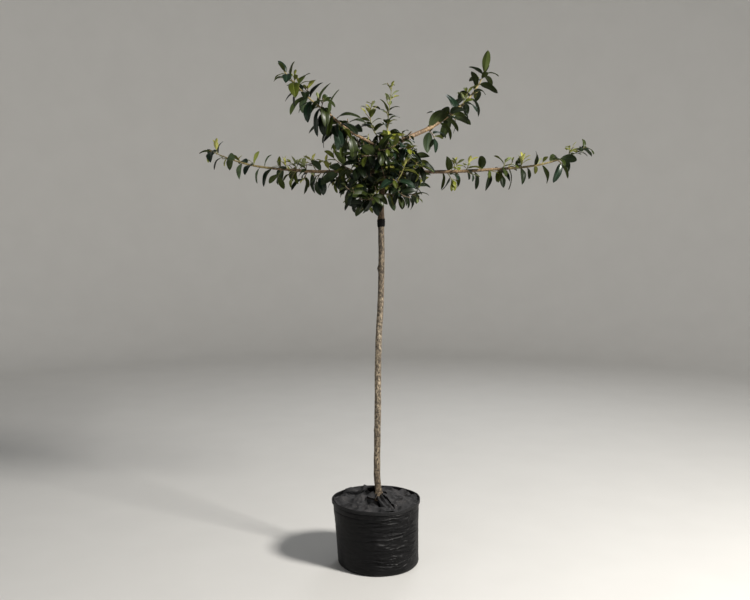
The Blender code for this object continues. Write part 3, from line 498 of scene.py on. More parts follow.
class Mass:
    """A mass of foliage as it grows. space(point) is whether a point is in its own part of the crown."""

    def __init__(self, name, seed, filled, stem, space):
        self.name, self.filled, self.stem, self.space = name, filled, stem, space
        self.draw = random.Random(seed)
        self.twigs, self.leaves = [], []

    def keep(self, corners, faces, own):
        """Keeps the room of what grows on own, if it is free, and returns the name that it is kept by."""
        if not all(self.space(corner) for corner in corners) or not self.filled.fits(corners, faces, own):
            return None
        name = f"growth {len(self.filled.solids)}"
        self.filled.add(name, corners, faces)
        return name

    def try_leaf(self, own, path, distance, turn, age, size=1.0, tries=5):
        """Adds the first leaf of a few that keeps to the mass's space and touches nothing."""
        root, ahead = along(path, distance)
        for attempt in range(tries):
            loose = self.draw.uniform(-LEAF_TURNS, LEAF_TURNS) * attempt
            leaf = grow_leaf(self.draw, age, root, ahead, turn + loose, size)
            if self.keep(*rough_leaf(leaf), own):
                self.leaves.append((leaf, own))
                return

    def try_shoot(self, own, path, distance, turn, way, length, lift, leaves, ages, size=1.0):
        """Adds a side twig with its leaves: spread along it, close together and younger towards its tip.

        way is its shares of outwards and onwards, where it leaves the path."""
        root, ahead = along(path, distance)
        ahead = (side_of(ahead, turn) * way[0] + ahead * way[1]).normalized()
        twig = grow_shoot(self.draw, root, ahead, length, TWIG_RADIUS, lift)
        clear = part_of(twig.path, TWIG_CLEAR_FROM, length, TWIG_STEPS)
        name = self.keep(*rough_tube(clear, twig.radii, TWIG_MARGIN), own)
        if not name:
            return
        self.twigs.append((twig, name))
        turn = self.draw.uniform(0.0, math.tau)
        for i in range(leaves):
            share = i / max(leaves - 1, 1)
            place = TWIG_LEAVES_FROM + TWIG_LEAVES_RUN * share**TWIG_LEAVES_CROWD
            age = ages[min(int(share * len(ages)), len(ages) - 1)]
            smaller = size * (1.0 - TWIG_SMALLER * share)
            self.try_leaf(name, twig.path, length * place, turn + i * GOLDEN_TURN, age, smaller)


def grow_arm(name, filled, path):
    """The leafy outer part of an arm: its short shoots, single leaves by turns round it, and its tip."""
    limb, habit = LIMBS[name], ARM_HABITS[name]
    run = limb.length - limb.bough - JOINT_GAP
    gate, gate_way = along(path, 0.0)

    def space(point):
        near = min((point - p).length for p in path)
        return near < ARM_REACH and (point - gate).dot(gate_way) > -ARM_BACK_REACH

    stem = Twig(path, limb_radii(limb, limb.bough + JOINT_GAP, limb.length, len(path) - 1))
    mass = Mass(name, habit.seed, filled, stem, space)
    for share, turn, *shoot in habit.shoots:
        mass.try_shoot(name, path, run * share, math.radians(turn), ARM_SHOOT_WAY, *shoot, habit.size)
    turn = mass.draw.uniform(0.0, math.tau)
    distance = habit.first
    while distance < run:
        age = "old" if distance < run * habit.old else "mid"
        mass.try_leaf(name, path, distance, turn, age, habit.size)
        turn += GOLDEN_TURN + mass.draw.uniform(-ARM_LEAF_TURN, ARM_LEAF_TURN)
        distance += habit.gap * mass.draw.uniform(*ARM_LEAF_GAPS)
    for i, (age, size) in enumerate(habit.tip):
        distance = run - TIP_LEAF_GAP * (len(habit.tip) - i)
        mass.try_leaf(name, path, distance, turn + i * GOLDEN_TURN, age, size, TIP_TRIES)
    return mass


def limb_radii(limb, start, end, steps):
    """A limb keeps its girth over its first half and then thins faster to its tip."""
    places = spread(steps + 1, start, end - start)
    return [girth(limb, place / limb.length, LIMB_TAPER) for place in places]


def short_stem(limb):
    return Twig(limb_path(limb, SHORT_STEPS), taper(limb.radius, SHORT_STEPS))


def rough_stem(limb):
    path, radii = short_stem(limb)
    return rough_tube(part_of(path, STEM_CLEAR_FROM, limb.length, SHORT_STEPS), radii, FIT_MARGIN)


def centre_limb(index, trunk, filled):
    """One of the stems round the leader: each next one stands higher, a golden turn on, and rises more.

    A stem that would meet one already there is turned aside until it is clear."""
    share = index / (CENTRE_STEMS - 1)
    height = mix(CENTRE_LOW, CENTRE_HIGH, share)
    heading = CENTRE_FIRST_HEADING + math.degrees(GOLDEN_TURN) * index
    pitch = tuple(mix(low, high, share) for low, high in zip(CENTRE_LOW_PITCH, CENTRE_HIGH_PITCH))
    start = point_at_height(trunk, height)
    shape = (CENTRE_STEM_LENGTH, pitch, 1.0, CENTRE_STEM_RADIUS, 0.0, CENTRE_SWAY)
    for aside in STEM_TURNS:
        limb = Limb(start, heading + aside, *shape)
        if filled.fits(*rough_stem(limb), "trunk", "stub"):
            break
    return limb


def grow_centre(name, limb, seed, filled):
    """The side twigs of one of the centre's stems and their leaves, within its own sector."""
    start, length = limb.start, limb.length
    stem = short_stem(limb)

    def space(point):
        reach = point - HEAD_MIDDLE
        if sum((reach[k] / HEAD_REACH[k]) ** 2 for k in range(3)) > 1.0:
            return False
        turn = math.atan2(point.y - start.y, point.x - start.x) - math.radians(limb.heading)
        turn = abs((turn + math.pi) % math.tau - math.pi)
        return turn < SECTOR or math.hypot(point.x - start.x, point.y - start.y) < SECTOR_FROM

    mass = Mass(name, seed, filled, stem, space)
    draw = mass.draw
    turn = draw.uniform(0.0, math.tau)
    for share in spread(*CENTRE_TWIGS):
        ages = ("old", "old", "mid") if draw.random() < CENTRE_OLD_SHARE else ("old", "mid", "young")
        shoot = (draw.uniform(*CENTRE_TWIG_LENGTHS), draw.uniform(*CENTRE_TWIG_LIFTS), CENTRE_LEAVES, ages)
        mass.try_shoot(name, stem.path, length * share, turn, CENTRE_TWIG_WAY, *shoot)
        turn += GOLDEN_TURN
    for share in spread(*CENTRE_STEM_LEAVES):
        mass.try_leaf(name, stem.path, length * share, turn, "old", tries=CENTRE_TRIES)
        turn += GOLDEN_TURN
    return mass


def grow_top_shoot(name, limb, seed, filled):
    """A soft upright shoot over the fork, with narrow young leaves."""
    stem = short_stem(limb)

    def space(point):
        return min((point - p).length for p in stem.path) < SHOOT_REACH and point.z > SHOOT_LOWEST

    mass = Mass(name, seed, filled, stem, space)
    turn = mass.draw.uniform(0.0, math.tau)
    for i in range(TOP_LEAVES):
        share = i / (TOP_LEAVES - 1)
        age = "mid" if share < TOP_YOUNG_FROM else "young"
        distance = limb.length * (TOP_LEAVES_FROM + TOP_LEAVES_RUN * share)
        mass.try_leaf(name, stem.path, distance, turn, age, 1.0 - TOP_SMALLER * share)
        turn += GOLDEN_TURN
    return mass


def point_at_height(path, height):
    for low, high in zip(path, path[1:]):
        if low.z <= height <= high.z:
            return low.lerp(high, (height - low.z) / (high.z - low.z))
    return path[-1].copy()


def grow_crown():
    """Every foliage mass, grown in one fixed order and then carried to finer shoots."""
    trunk = trunk_path()
    filled = Filled()
    filled.add("trunk", *rough_tube(trunk, [trunk_radius(p.z) for p in trunk], FIT_MARGIN, 8))
    filled.add("stub", *rough_tube(*stub_twig(), FIT_MARGIN, 8))
    arms, centre = {}, {}
    for name, limb in LIMBS.items():
        path = limb_path(limb, LIMB_STEPS)
        arms[name] = part_of(path, limb.bough + JOINT_GAP, limb.length, ARM_STEPS)
        bough = part_of(path, 0.0, limb.bough, BOUGH_STEPS)
        radii = limb_radii(limb, 0.0, limb.bough, BOUGH_STEPS)
        filled.add("bough", *rough_tube(bough, radii, FIT_MARGIN, 6))
        radii = limb_radii(limb, limb.bough, limb.length, ARM_STEPS)
        filled.add(name, *rough_tube(arms[name], radii, FIT_MARGIN, 6))
    for name, limb in TOP_SHOOTS.items():
        filled.add(name, *rough_stem(limb))
    for index in range(CENTRE_STEMS):
        name = f"centre_{index + 1:02d}"
        centre[name] = centre_limb(index, trunk, filled)
        filled.add(name, *rough_stem(centre[name]))
    masses = [grow_top_shoot(name, limb, TOP_SEEDS[name], filled) for name, limb in TOP_SHOOTS.items()]
    masses += [grow_arm(name, filled, path) for name, path in arms.items()]
    masses += [grow_centre(*stem, seed, filled) for stem, seed in zip(centre.items(), CENTRE_SEEDS)]
    draw = random.Random(FINER_SEED)
    for mass in masses:
        grow_finer(mass, draw)
    return masses


def bag_radius(height):
    """The bag's outer radius: rounded at the foot, nearly upright, a little wider at the rim."""
    if height < BAG_FOOT_ROUNDING:
        lift = math.sqrt(1 - (1 - height / BAG_FOOT_ROUNDING) ** 2)
        return mix(BAG_FOOT_RADIUS, BAG_LOW_RADIUS, lift)
    share = (height - BAG_FOOT_ROUNDING) / (BAG_HEIGHT - BAG_FOOT_ROUNDING)
    return mix(BAG_LOW_RADIUS, BAG_RIM_RADIUS - HEM_PROUD, share)


def soil_height(radius):
    """The soil is level round the stem and falls away towards the bag's wall."""
    edge = bag_radius(SOIL_EDGE_HEIGHT) - BAG_WALL
    share = max(0.0, radius - SOIL_FLAT_RADIUS) / (edge - SOIL_FLAT_RADIUS)
    return mix(SOIL_CROWN_HEIGHT, SOIL_EDGE_HEIGHT, share)


# ---- carried to finer shoots

FINER_SEED = 7
REACH_MARGIN = 0.004
FINER_SPACING = {"centre": 0.040, "top": 0.030}
ARM_SPACING = 0.075
FINER_FROM = 0.15
FINER_RUN = 0.80
FINER_WAY = (0.8, 0.7)
FINER_OLD_SHARE = 0.85
FINER_SIZES = {True: (0.75, 1.0), False: (0.60, 0.85)}  # in the centre, and elsewhere
FINER_LENGTHS = (0.018, 0.036)
FINER_LIFTS = (-10, 25)
FINER_LEAVES = (2, 3)


def reach_of(mass):
    """The box that a mass's twigs and leaves fill."""
    points = list(mass.stem.path)
    for twig, _ in mass.twigs:
        points += twig.path
    for leaf, _ in mass.leaves:
        points += [leaf.root, leaf.bend, leaf.tip]
    low = [min(point[k] for point in points) + REACH_MARGIN for k in range(3)]
    high = [max(point[k] for point in points) - REACH_MARGIN for k in range(3)]
    return low, high


def within(point, low, high):
    return all(low[k] < point[k] < high[k] for k in range(3))


def grow_finer(mass, draw):
    """Short shoots between the leaves that are there, each with a few small ones, within the mass's reach."""
    low, high = reach_of(mass)
    mass.draw, mass.space = draw, lambda point: within(point, low, high)
    centre = mass.name.startswith("centre")
    spacing = FINER_SPACING.get(mass.name.split("_")[0], ARM_SPACING)
    for axis, own in axes_of(mass):
        length = sum((b - a).length for a, b in zip(axis.path, axis.path[1:]))
        shoots = max(1, int(length / spacing))
        for i in range(shoots):
            place = FINER_FROM + FINER_RUN * (i + draw.random()) / shoots
            turn = draw.uniform(0.0, math.tau)
            old = centre and draw.random() < FINER_OLD_SHARE
            ages = ("old", "mid") if old else ("mid", "young")
            size = draw.uniform(*FINER_SIZES[centre])
            shoot = (draw.uniform(*FINER_LENGTHS), draw.uniform(*FINER_LIFTS), draw.randint(*FINER_LEAVES))
            mass.try_shoot(own, axis.path, length * place, turn, FINER_WAY, *shoot, ages, size)


def axes_of(mass):
    """The mass's stem and then its twigs, each with its name."""
    return [(mass.stem, mass.name)] + mass.twigs


# ---- materials

EVEN = (1.0, 1.0, 1.0)


def linear(red, green, blue):
    """A colour seen as these 0 to 255 values, as the shader takes it."""
    return [((v / 255 + 0.055) / 1.055) ** 2.4 if v > 10 else v / 255 / 12.92 for v in (red, green, blue)]


def toned(*stops):
    """Stops for a ramp from (place, colour), each colour of 0 to 255 values."""
    return [(place, linear(*colour)) for place, colour in stops]


def grey(place, value):
    return place, (value,) * 3


class Paint:
    """A material whose nodes are being laid out. Uniform values go on the shader's own sockets."""

    def __init__(self, name, roughness, **sockets):
        self.made = bpy.data.materials.new(name)
        self.made.use_nodes = True
        self.nodes = self.made.node_tree.nodes
        self.shader = self.nodes["Principled BSDF"]
        self.shade(Roughness=roughness, **sockets)

    def fill(self, node, inputs):
        """Sets each input to its value, or joins another node's output to it."""
        for key, value in inputs.items():
            if isinstance(value, bpy.types.NodeSocket):
                self.made.node_tree.links.new(value, node.inputs[key])
            else:
                node.inputs[key].default_value = value

    def shade(self, **inputs):
        self.fill(self.shader, {key.replace("_", " "): value for key, value in inputs.items()})

    def node(self, kind, inputs, output=0, **settings):
        node = self.nodes.new("ShaderNode" + kind)
        for key, value in settings.items():
            setattr(node, key, value)
        self.fill(node, inputs)
        return node.outputs[output]

    def place(self, stretch=EVEN):
        """Object coordinates, drawn out by a scale for each axis."""
        plain = self.node("TexCoord", {}, "Object")
        return self.node("Mapping", {"Vector": plain, "Scale": stretch})

    def noise(self, scale, detail=4.0, roughness=0.55, stretch=EVEN):
        inputs = {"Scale": scale, "Detail": detail, "Roughness": roughness}
        return self.node("TexNoise", {"Vector": self.place(stretch), **inputs}, "Fac")

    def cells(self, scale, stretch=EVEN):
        return self.node("TexVoronoi", {"Vector": self.place(stretch), "Scale": scale}, "Distance")

    def ramp(self, factor, stops):
        """A colour ramp through (place, colour) stops."""
        node = self.nodes.new("ShaderNodeValToRGB")
        bar = node.color_ramp
        while len(bar.elements) < len(stops):
            bar.elements.new(0.5)
        for element, (place, colour) in zip(bar.elements, stops):
            element.position = place
            element.color = (*colour, 1.0)
        self.fill(node, {"Fac": factor})
        return node.outputs["Color"]

    def darkened(self, colour, factor, share=1.0):
        inputs = {0: share, 6: colour, 7: factor}
        return self.node("Mix", inputs, 2, data_type="RGBA", blend_type="MULTIPLY")

    def strewn(self, colour, share, other):
        """Another plain colour laid over this one by a share."""
        return self.node("Mix", {0: share, 6: colour, 7: (*other, 1.0)}, 2, data_type="RGBA")

    def mapped(self, value, low, high, start=0.0, stop=1.0):
        inputs = {"Value": value, "From Min": start, "From Max": stop, "To Min": low, "To Max": high}
        return self.node("MapRange", inputs)

    def math(self, operation, first, second):
        return self.node("Math", {0: first, 1: second}, operation=operation)

    def bump(self, height, strength, distance):
        inputs = {"Height": height, "Strength": strength, "Distance": distance}
        self.shade(Normal=self.node("Bump", inputs))


def mottled(name, roughness, patches, stops, grain=None, strength=0.0, distance=0.0, **sockets):
    """A material of one noise for its colours and a finer one for its relief."""
    paint = Paint(name, roughness, **sockets)
    paint.shade(Base_Color=paint.ramp(paint.noise(*patches), stops))
    if grain:
        paint.bump(paint.noise(*grain), strength, distance)
    return paint.made


# How dark the stem's bark is from the soil up to the graft, as a share of the way and a colour's factors. It is
# darker towards the foot, and from 0.73 up to the graft it is a painted shadow of the crown.
STEM_TONES_AND_CROWN_SHADOW = (
    (0.00, (0.66, 0.59, 0.52)),
    (0.06, (0.52, 0.49, 0.45)),
    (0.14, (0.66, 0.64, 0.61)),
    (0.28, (0.60, 0.59, 0.58)),
    (0.36, (0.86, 0.86, 0.86)),
    (0.60, (1.00, 1.00, 1.00)),
    (0.73, (0.68, 0.67, 0.66)),
    (0.80, (0.46, 0.44, 0.42)),
    (1.00, (0.38, 0.36, 0.34)),
)
# Each bark's dark, middle and light colours and its roughness.
BARKS = {
    "stem": ((40, 33, 26), (108, 96, 80), (184, 170, 147), 0.80),
    "scion": ((36, 26, 15), (64, 48, 28), (94, 74, 48), 0.80),
    "arm": ((66, 51, 36), (108, 87, 64), (146, 121, 92), 0.62),
    "arm_young": ((76, 60, 41), (120, 97, 68), (156, 131, 95), 0.58),
    "arm_tip": ((88, 76, 46), (124, 110, 70), (152, 138, 92), 0.55),
    "twig": ((62, 50, 38), (92, 76, 58), (120, 102, 80), 0.60),
}
LENTICEL_BARKS = ("stem", "scion")


def bark_material(kind):
    """Bark: blotches, fine upright streaks, pale lenticels and a fine rough relief."""
    *tones, roughness = BARKS[kind]
    paint = Paint("bark_" + kind, roughness)
    blotches = paint.noise(130.0, 8.0, 0.74, (1.0, 1.0, 0.60))
    colour = paint.ramp(blotches, toned(*zip((0.39, 0.49, 0.60), tones)))
    broad = paint.noise(14.0, 3.0, 0.5, (1.0, 1.0, 0.5))
    colour = paint.darkened(colour, paint.ramp(broad, [grey(0.35, 0.66), grey(0.60, 1.10)]), 0.9)
    streaks = paint.noise(260.0, 5.0, 0.66, (1.0, 1.0, 0.30))
    colour = paint.darkened(colour, paint.ramp(streaks, [grey(0.34, 0.50), grey(0.58, 1.15)]), 0.8)
    if kind == "stem":
        # The stem's bark darkens towards its foot, and under the crown it takes a painted shadow of the crown.
        height = paint.node("SeparateXYZ", {0: paint.place()}, "Z")
        share = paint.mapped(height, 0.0, 1.0, SOIL_CROWN_HEIGHT, GRAFT_HEIGHT)
        colour = paint.darkened(colour, paint.ramp(share, STEM_TONES_AND_CROWN_SHADOW))
    if kind in LENTICEL_BARKS:
        spots = paint.mapped(paint.cells(95.0, (0.55, 0.55, 1.6)), 0.0, 0.55, 0.17, 0.08)
        colour = paint.strewn(colour, spots, [min(1.0, v * 1.25) for v in linear(*tones[-1])])
    paint.shade(Base_Color=colour)
    paint.bump(paint.noise(300.0, 5.0, 0.65, (1.0, 1.0, 0.35)), 0.8, 0.0016)
    return paint.made


# The colours of leaves, by tint: upper side, underside, gloss.
Tint = namedtuple("Tint", "upper under roughness coat")
TINTS = {
    "deep": Tint((15, 24, 8), (42, 51, 22), 0.42, 0.14),
    "blue": Tint((20, 35, 23), (48, 60, 38), 0.36, 0.24),
    "dark": Tint((34, 43, 12), (58, 68, 28), 0.43, 0.11),
    "middle": Tint((60, 68, 19), (90, 97, 42), 0.48, 0.08),
    "fresh": Tint((93, 98, 30), (118, 121, 56), 0.50, 0.06),
    "young": Tint((132, 132, 62), (148, 148, 84), 0.54, 0.04),
    "silvery": Tint((100, 110, 68), (126, 133, 92), 0.50, 0.06),
}
# on_arm: leaves neither old nor young that stand on an arm itself, darker than those on its shoots.
TINTS_OF_AGE = {
    "old": ("deep", "deep", "dark", "blue", "blue"),
    "on_arm": ("dark", "dark", "blue", "middle"),
    "mid": ("dark", "middle", "middle", "fresh"),
    "raised": ("dark", "blue", "dark"),
    "young": ("young", "fresh", "silvery", "young"),
}
UNDERSIDE_ROUGHNESS = 0.62
LEAF_SHINE = {"Specular_IOR_Level": 0.17, "Coat_Roughness": 0.26}


def leaf_material(name, colour, roughness, coat):
    """One plain base colour, with a faint uneven gloss and a fine quilted relief."""
    paint = Paint(name, roughness, Coat_Weight=coat, Base_Color=(*linear(*colour), 1.0), **LEAF_SHINE)
    paint.bump(paint.noise(130.0, 3.0, 0.5), 0.30, 0.0006)
    return paint.made


def leaf_materials(name):
    tint = TINTS[name]
    rib = [min(255, int(v * 1.2 + 26)) for v in tint.upper]
    return [
        leaf_material(f"leaf_{name}", tint.upper, tint.roughness, tint.coat),
        leaf_material(f"leaf_{name}_rib", rib, tint.roughness, tint.coat * 0.5),
        leaf_material(f"leaf_{name}_under", tint.under, UNDERSIDE_ROUGHNESS, 0.0),
    ]


def green_material(name, colour):
    """The skin of young shoots, petioles and buds."""
    full = linear(*colour)
    stops = [(0.35, [v * 0.72 for v in full]), (0.65, full)]
    return mottled(name, 0.5, (60.0, 3.0), stops, (500.0, 3.0), 0.25, 0.0006)


def bag_material(name, painted_highlight):
    """Black plastic cloth: near-black with a faint dusty veil, a fine weave and a low sheen.

    The last argument is how many steps of 255 paler it is painted: a painted highlight, for the light that the
    hem's lip catches."""
    paint = Paint(name, 0.5, Coat_Weight=0.07, Coat_Roughness=0.32, Specular_IOR_Level=0.08)
    tones = [(tone + painted_highlight, tone + painted_highlight, tone + painted_highlight + 1) for tone in (13, 20, 32)]
    dust = paint.ramp(paint.noise(9.0, 6.0, 0.62), toned(*zip((0.35, 0.60, 0.80), tones)))
    paint.shade(Base_Color=dust, Roughness=paint.mapped(paint.noise(22.0, 4.0), 0.44, 0.60))
    weave = {"Vector": paint.place(), "Scale": 420.0, "Distortion": 0.4}
    weave = paint.node("TexWave", weave, "Fac", bands_direction="Z")
    rough = paint.noise(130.0, 5.0, 0.6)
    paint.bump(paint.math("ADD", paint.mapped(weave, 0.0, 0.35), rough), 0.30, 0.0008)
    return paint.made


def mat_material():
    """Weed mat: dark grey, dusty in patches, with pale grit on it, and finely matted."""
    paint = Paint("weed_mat_cloth", 0.85)
    tones = toned((0.36, (24, 24, 26)), (0.51, (34, 34, 36)), (0.68, (54, 52, 53)))
    grit = paint.mapped(paint.cells(130.0), 0.0, 1.0, 0.15, 0.09)
    where = paint.mapped(paint.noise(26.0, 2.0), 0.0, 1.0, 0.52, 0.60)
    dusty = paint.ramp(paint.noise(20.0, 5.0, 0.6), tones)
    colour = paint.strewn(dusty, paint.math("MULTIPLY", grit, where), linear(132, 122, 112))
    paint.shade(Base_Color=colour)
    paint.bump(paint.noise(650.0, 4.0, 0.7), 0.35, 0.0010)
    return paint.made


def soil_material():
    tones = toned((0.30, (30, 23, 18)), (0.52, (56, 43, 32)), (0.72, (94, 74, 54)))
    return mottled("soil_crumb", 0.95, (70.0, 8.0, 0.7), tones, (160.0, 8.0, 0.7), 0.9, 0.004)


def tape_material():
    tones = toned((0.3, (7, 7, 7)), (0.7, (19, 18, 17)))
    grain = (260.0, 4.0)
    return mottled("graft_tape", 0.6, (80.0, 4.0), tones, grain, 0.4, 0.001, Specular_IOR_Level=0.05)


def floor_material():
    return mottled("floor_pale", 0.9, (3.0, 2.0), [(0.0, (0.60, 0.595, 0.58)), (1.0, (0.64, 0.635, 0.62))])


# ---- meshes


class Heap:
    """Shapes gathered into one joined mesh."""

    def __init__(self):
        self.verts, self.faces, self.slots, self.count = [], [], [], 0

    def add(self, verts, faces, slots=None):
        self.verts.append(np.asarray(verts, float))
        self.faces += [tuple(v + self.count for v in face) for face in faces]
        self.slots += slots or [0] * len(faces)
        self.count += len(verts)

    def make(self, name, materials, slot, sharp=60.0, nodes=()):
        """The joined piece, which stands for the CAD nodes named."""
        mesh = bpy.data.meshes.new(name)
        mesh.from_pydata(np.concatenate(self.verts).tolist(), [], self.faces)
        mesh.polygons.foreach_set("material_index", self.slots)
        for material in materials:
            mesh.materials.append(material)
        mesh.shade_smooth()
        mesh.set_sharp_from_angle(angle=math.radians(sharp))
        made = linked(name, mesh)
        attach(made, "root")
        if nodes:
            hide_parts(*nodes)
        return made


def linked(name, data):
    made = bpy.data.objects.new(name, data)
    bpy.context.scene.collection.objects.link(made)
    return made


def make_sheet(shape, name, material, slot, sharp, nodes, thickness=0.0, offset=-1.0):
    """One piece from a single sheet, thickened to the side that offset says."""
    heap = Heap()
    heap.add(*shape)
    made = heap.make(name, [material], slot, sharp, nodes)
    if thickness:
        solid = made.modifiers.new("thickness", "SOLIDIFY")
        solid.thickness = thickness
        solid.offset = offset


def smooth_line(points, spacing):
    """A finer line through points, curved between them."""
    fine = []
    for i, (here, there) in enumerate(zip(points, points[1:])):
        before, after = points[max(i - 1, 0)], points[min(i + 2, len(points) - 1)]
        steps = max(1, round((there - here).length / spacing))
        for t in (k / steps for k in range(steps)):
            bent = 2 * before - 5 * here + 4 * there - after
            swung = 3 * here - before - 3 * there + after
            fine.append(0.5 * (2 * here + (there - before) * t + bent * t * t + swung * t**3))
    fine.append(points[-1].copy())
    return fine


TIP_DOME = 0.6  # how far a tube's end stands out, as a share of its radius


def sweep(path, radius_at, sides, relief=None, slot_at=None):
    """Verts, faces and slots of a closed tube.

    radius_at(share) is its girth, relief(point) its bark, and slot_at(share) the slot of its material."""
    side = (path[1] - path[0]).normalized().orthogonal().normalized()
    lengths = [0.0]
    for a, b in zip(path, path[1:]):
        lengths.append(lengths[-1] + (b - a).length)
    rings = []
    for i, length in enumerate(lengths):
        ahead = way_at(path, i)
        side = (side - ahead * side.dot(ahead)).normalized()
        share = length / lengths[-1]
        rings.append((side, ahead.cross(side), share, radius_at(share)))

    def place(i, k):
        side, over, _, radius = rings[i]
        turn = math.tau * k / sides
        out = side * math.cos(turn) + over * math.sin(turn)
        more = relief(path[i] + out * radius) if relief else 0.0
        return path[i] + out * (radius + more)

    verts, faces = sheet(len(path) - 1, sides, place)
    slots = [slot_at(ring[2]) if slot_at else 0 for ring in rings[1:] for _ in range(sides)]
    last = (len(path) - 1) * sides
    verts += [path[0].copy(), path[-1] + (path[-1] - path[-2]).normalized() * rings[-1][3] * TIP_DOME]
    for k in range(sides):
        n = (k + 1) % sides
        faces += [(len(verts) - 2, n, k), (len(verts) - 1, last + k, last + n)]
        slots += [slots[0], slots[-1]]
    return verts, faces, slots


# ---- trunk, boughs and twigs

TRUNK_SIDES = 40
TRUNK_SPACING = 0.004
TRUNK_SUNK = 0.012  # how far the stem goes on down into the soil
STUB_SIDES = 20
BOUGH_SIDES = 20
BOUGH_SPACING = 0.006
BARK_TAPER = 1.9  # with its bark on, an arm keeps its girth further out than the plain limb
ARM_BARKS = 3.2  # how fast an arm's three barks follow each other
TWIG_SIDES = 8
TWIG_SPACING = 0.008
# The scars of cut shoots: height, facing, how proud, half height. Then their half width in degrees.
KNOTS = (
    (1.355, 168.0, 0.0055, 0.011),
    (0.98, 20.0, 0.0020, 0.012),
    (0.62, 210.0, 0.0022, 0.010),
    (1.20, 300.0, 0.0018, 0.009),
)
KNOT_WIDTH = 42.0
# The lobes of the flared foot: facing, half width, how proud.
FOOT_LOBES = ((-28.0, 30.0, 0.0055), (-150.0, 34.0, 0.0045), (85.0, 40.0, 0.0045), (-88.0, 16.0, -0.0035))
LOBE_HEIGHT = FLARE_HEIGHT * 1.3
NODE_SPACING = 0.034  # from one leaf's ring round an arm to the next


def bark_relief(amount):
    def relief(point):
        grain = wobble(point.x * 160, point.y * 160, point.z * 26)
        lumps = wobble(point.x * 45, point.y * 45, point.z * 18 + 7.0)
        return amount * (0.55 * grain + 0.9 * lumps)

    return relief


def trunk_relief(point):
    """Bark relief, the scars of cut shoots, and the lobes of the flared foot."""
    heading = math.degrees(math.atan2(point.y, point.x - point_at_height(TRUNK_LINE, point.z).x)) % 360
    more = bark_relief(0.0011)(point)
    for height, facing, proud, size in KNOTS:
        more += proud * bell((point.z - height) / size, between(heading, facing) / KNOT_WIDTH)
    foot = max(0.0, 1 - (point.z - TRUNK_FOOT_HEIGHT) / LOBE_HEIGHT)
    for facing, half, proud in FOOT_LOBES:
        more += proud * foot * bell(between(heading, facing) / half)
    return more


def make_trunk_bark(materials):
    heap = Heap()
    path = smooth_line([TRUNK_LINE[0] - Vector((0, 0, TRUNK_SUNK))] + TRUNK_LINE, TRUNK_SPACING)
    height = path[-1].z - path[0].z
    graft = (GRAFT_HEIGHT - path[0].z) / height
    stub = stub_twig()

    def radius_at(share):
        return trunk_radius(max(path[0].z + height * share, TRUNK_FOOT_HEIGHT))

    def stub_radius(share):
        return mix(stub.radii[0], stub.radii[-1], share)

    heap.add(*sweep(path, radius_at, TRUNK_SIDES, trunk_relief, lambda share: int(share > graft)))
    stub_line = smooth_line(stub.path, TRUNK_SPACING)
    heap.add(*sweep(stub_line, stub_radius, STUB_SIDES, bark_relief(0.0012), lambda share: 1))
    heap.make("trunk_bark", materials, "bark", 50.0, ["trunk"])


TAPE_LOW = GRAFT_HEIGHT - 0.020
TAPE_HIGH = GRAFT_HEIGHT + 0.014
TAPE_TURNS = 3
TAPE_ROWS, TAPE_SIDES = 28, 40


def make_graft_tape(material):
    """The strip of black tape left round the graft: a few turns, their edges a little proud."""

    def place(i, k):
        share, turn = i / TAPE_ROWS, math.tau * k / TAPE_SIDES
        z = mix(TAPE_LOW, TAPE_HIGH, share) + 0.0025 * math.sin(turn + 0.8) + 0.0015 * math.sin(3 * turn)
        edge = (share * TAPE_TURNS + k / TAPE_SIDES) % 1.0
        closed = min(share, 1 - share) * 12
        proud = 0.0005 + 0.0009 * min(1.0, closed) + 0.0006 * edge
        proud += 0.0006 * wobble(math.cos(turn) * 3, math.sin(turn) * 3, z * 160)
        out = Vector((math.cos(turn), math.sin(turn), 0))
        return point_at_height(TRUNK_LINE, z) + out * (trunk_radius(z) + proud)

    shape = sheet(TAPE_ROWS, TAPE_SIDES, place)
    make_sheet(shape, "graft_tape", material, "bark", 40.0, (), 0.0012)


def make_limbs(materials):
    """Each arm from the trunk to its tip: brown bark, greener further out, with a ring at each leaf."""
    for name, limb in LIMBS.items():
        heap = Heap()
        path = smooth_line(limb_path(limb, LIMB_STEPS), BOUGH_SPACING)

        def radius_at(share, limb=limb):
            collar = 0.0030 * bell(share * limb.length / 0.022)
            joint = (share * limb.length / NODE_SPACING) % 1.0
            return girth(limb, share, BARK_TAPER) * (1 + 0.10 * bell((joint - 0.5) / 0.10)) + collar

        def bark_at(share):
            return min(2, int(share * ARM_BARKS))

        heap.add(*sweep(path, radius_at, BOUGH_SIDES, bark_relief(0.0006), bark_at))
        heap.make("limb_" + name, materials, "bark", 50.0, ["bough_" + name])


def make_twigs(masses, brown, green):
    """Every twig and short shoot, brown where its leaves are old and green where they are young."""
    heaps = {"twigs_brown": (Heap(), brown), "twigs_green": (Heap(), green)}
    for mass in masses:
        stems = [] if mass.name in LIMBS else [(mass.stem, mass.name)]
        for twig, own in mass.twigs + stems:
            ages = [leaf.age for leaf, bearer in mass.leaves if bearer == own]
            young = ages.count("young") + 0.4 * ages.count("mid")
            heap = heaps["twigs_green" if young > 1.0 else "twigs_brown"][0]
            low, high = twig.radii[0], twig.radii[-1]
            line = smooth_line(twig.path, TWIG_SPACING)
            heap.add(*sweep(line, lambda share: mix(low, high, share), TWIG_SIDES, bark_relief(0.0002)))
    for name, (heap, material) in heaps.items():
        heap.make(name, [material], "bark", nodes=FOLIAGE)


# ---- leaves

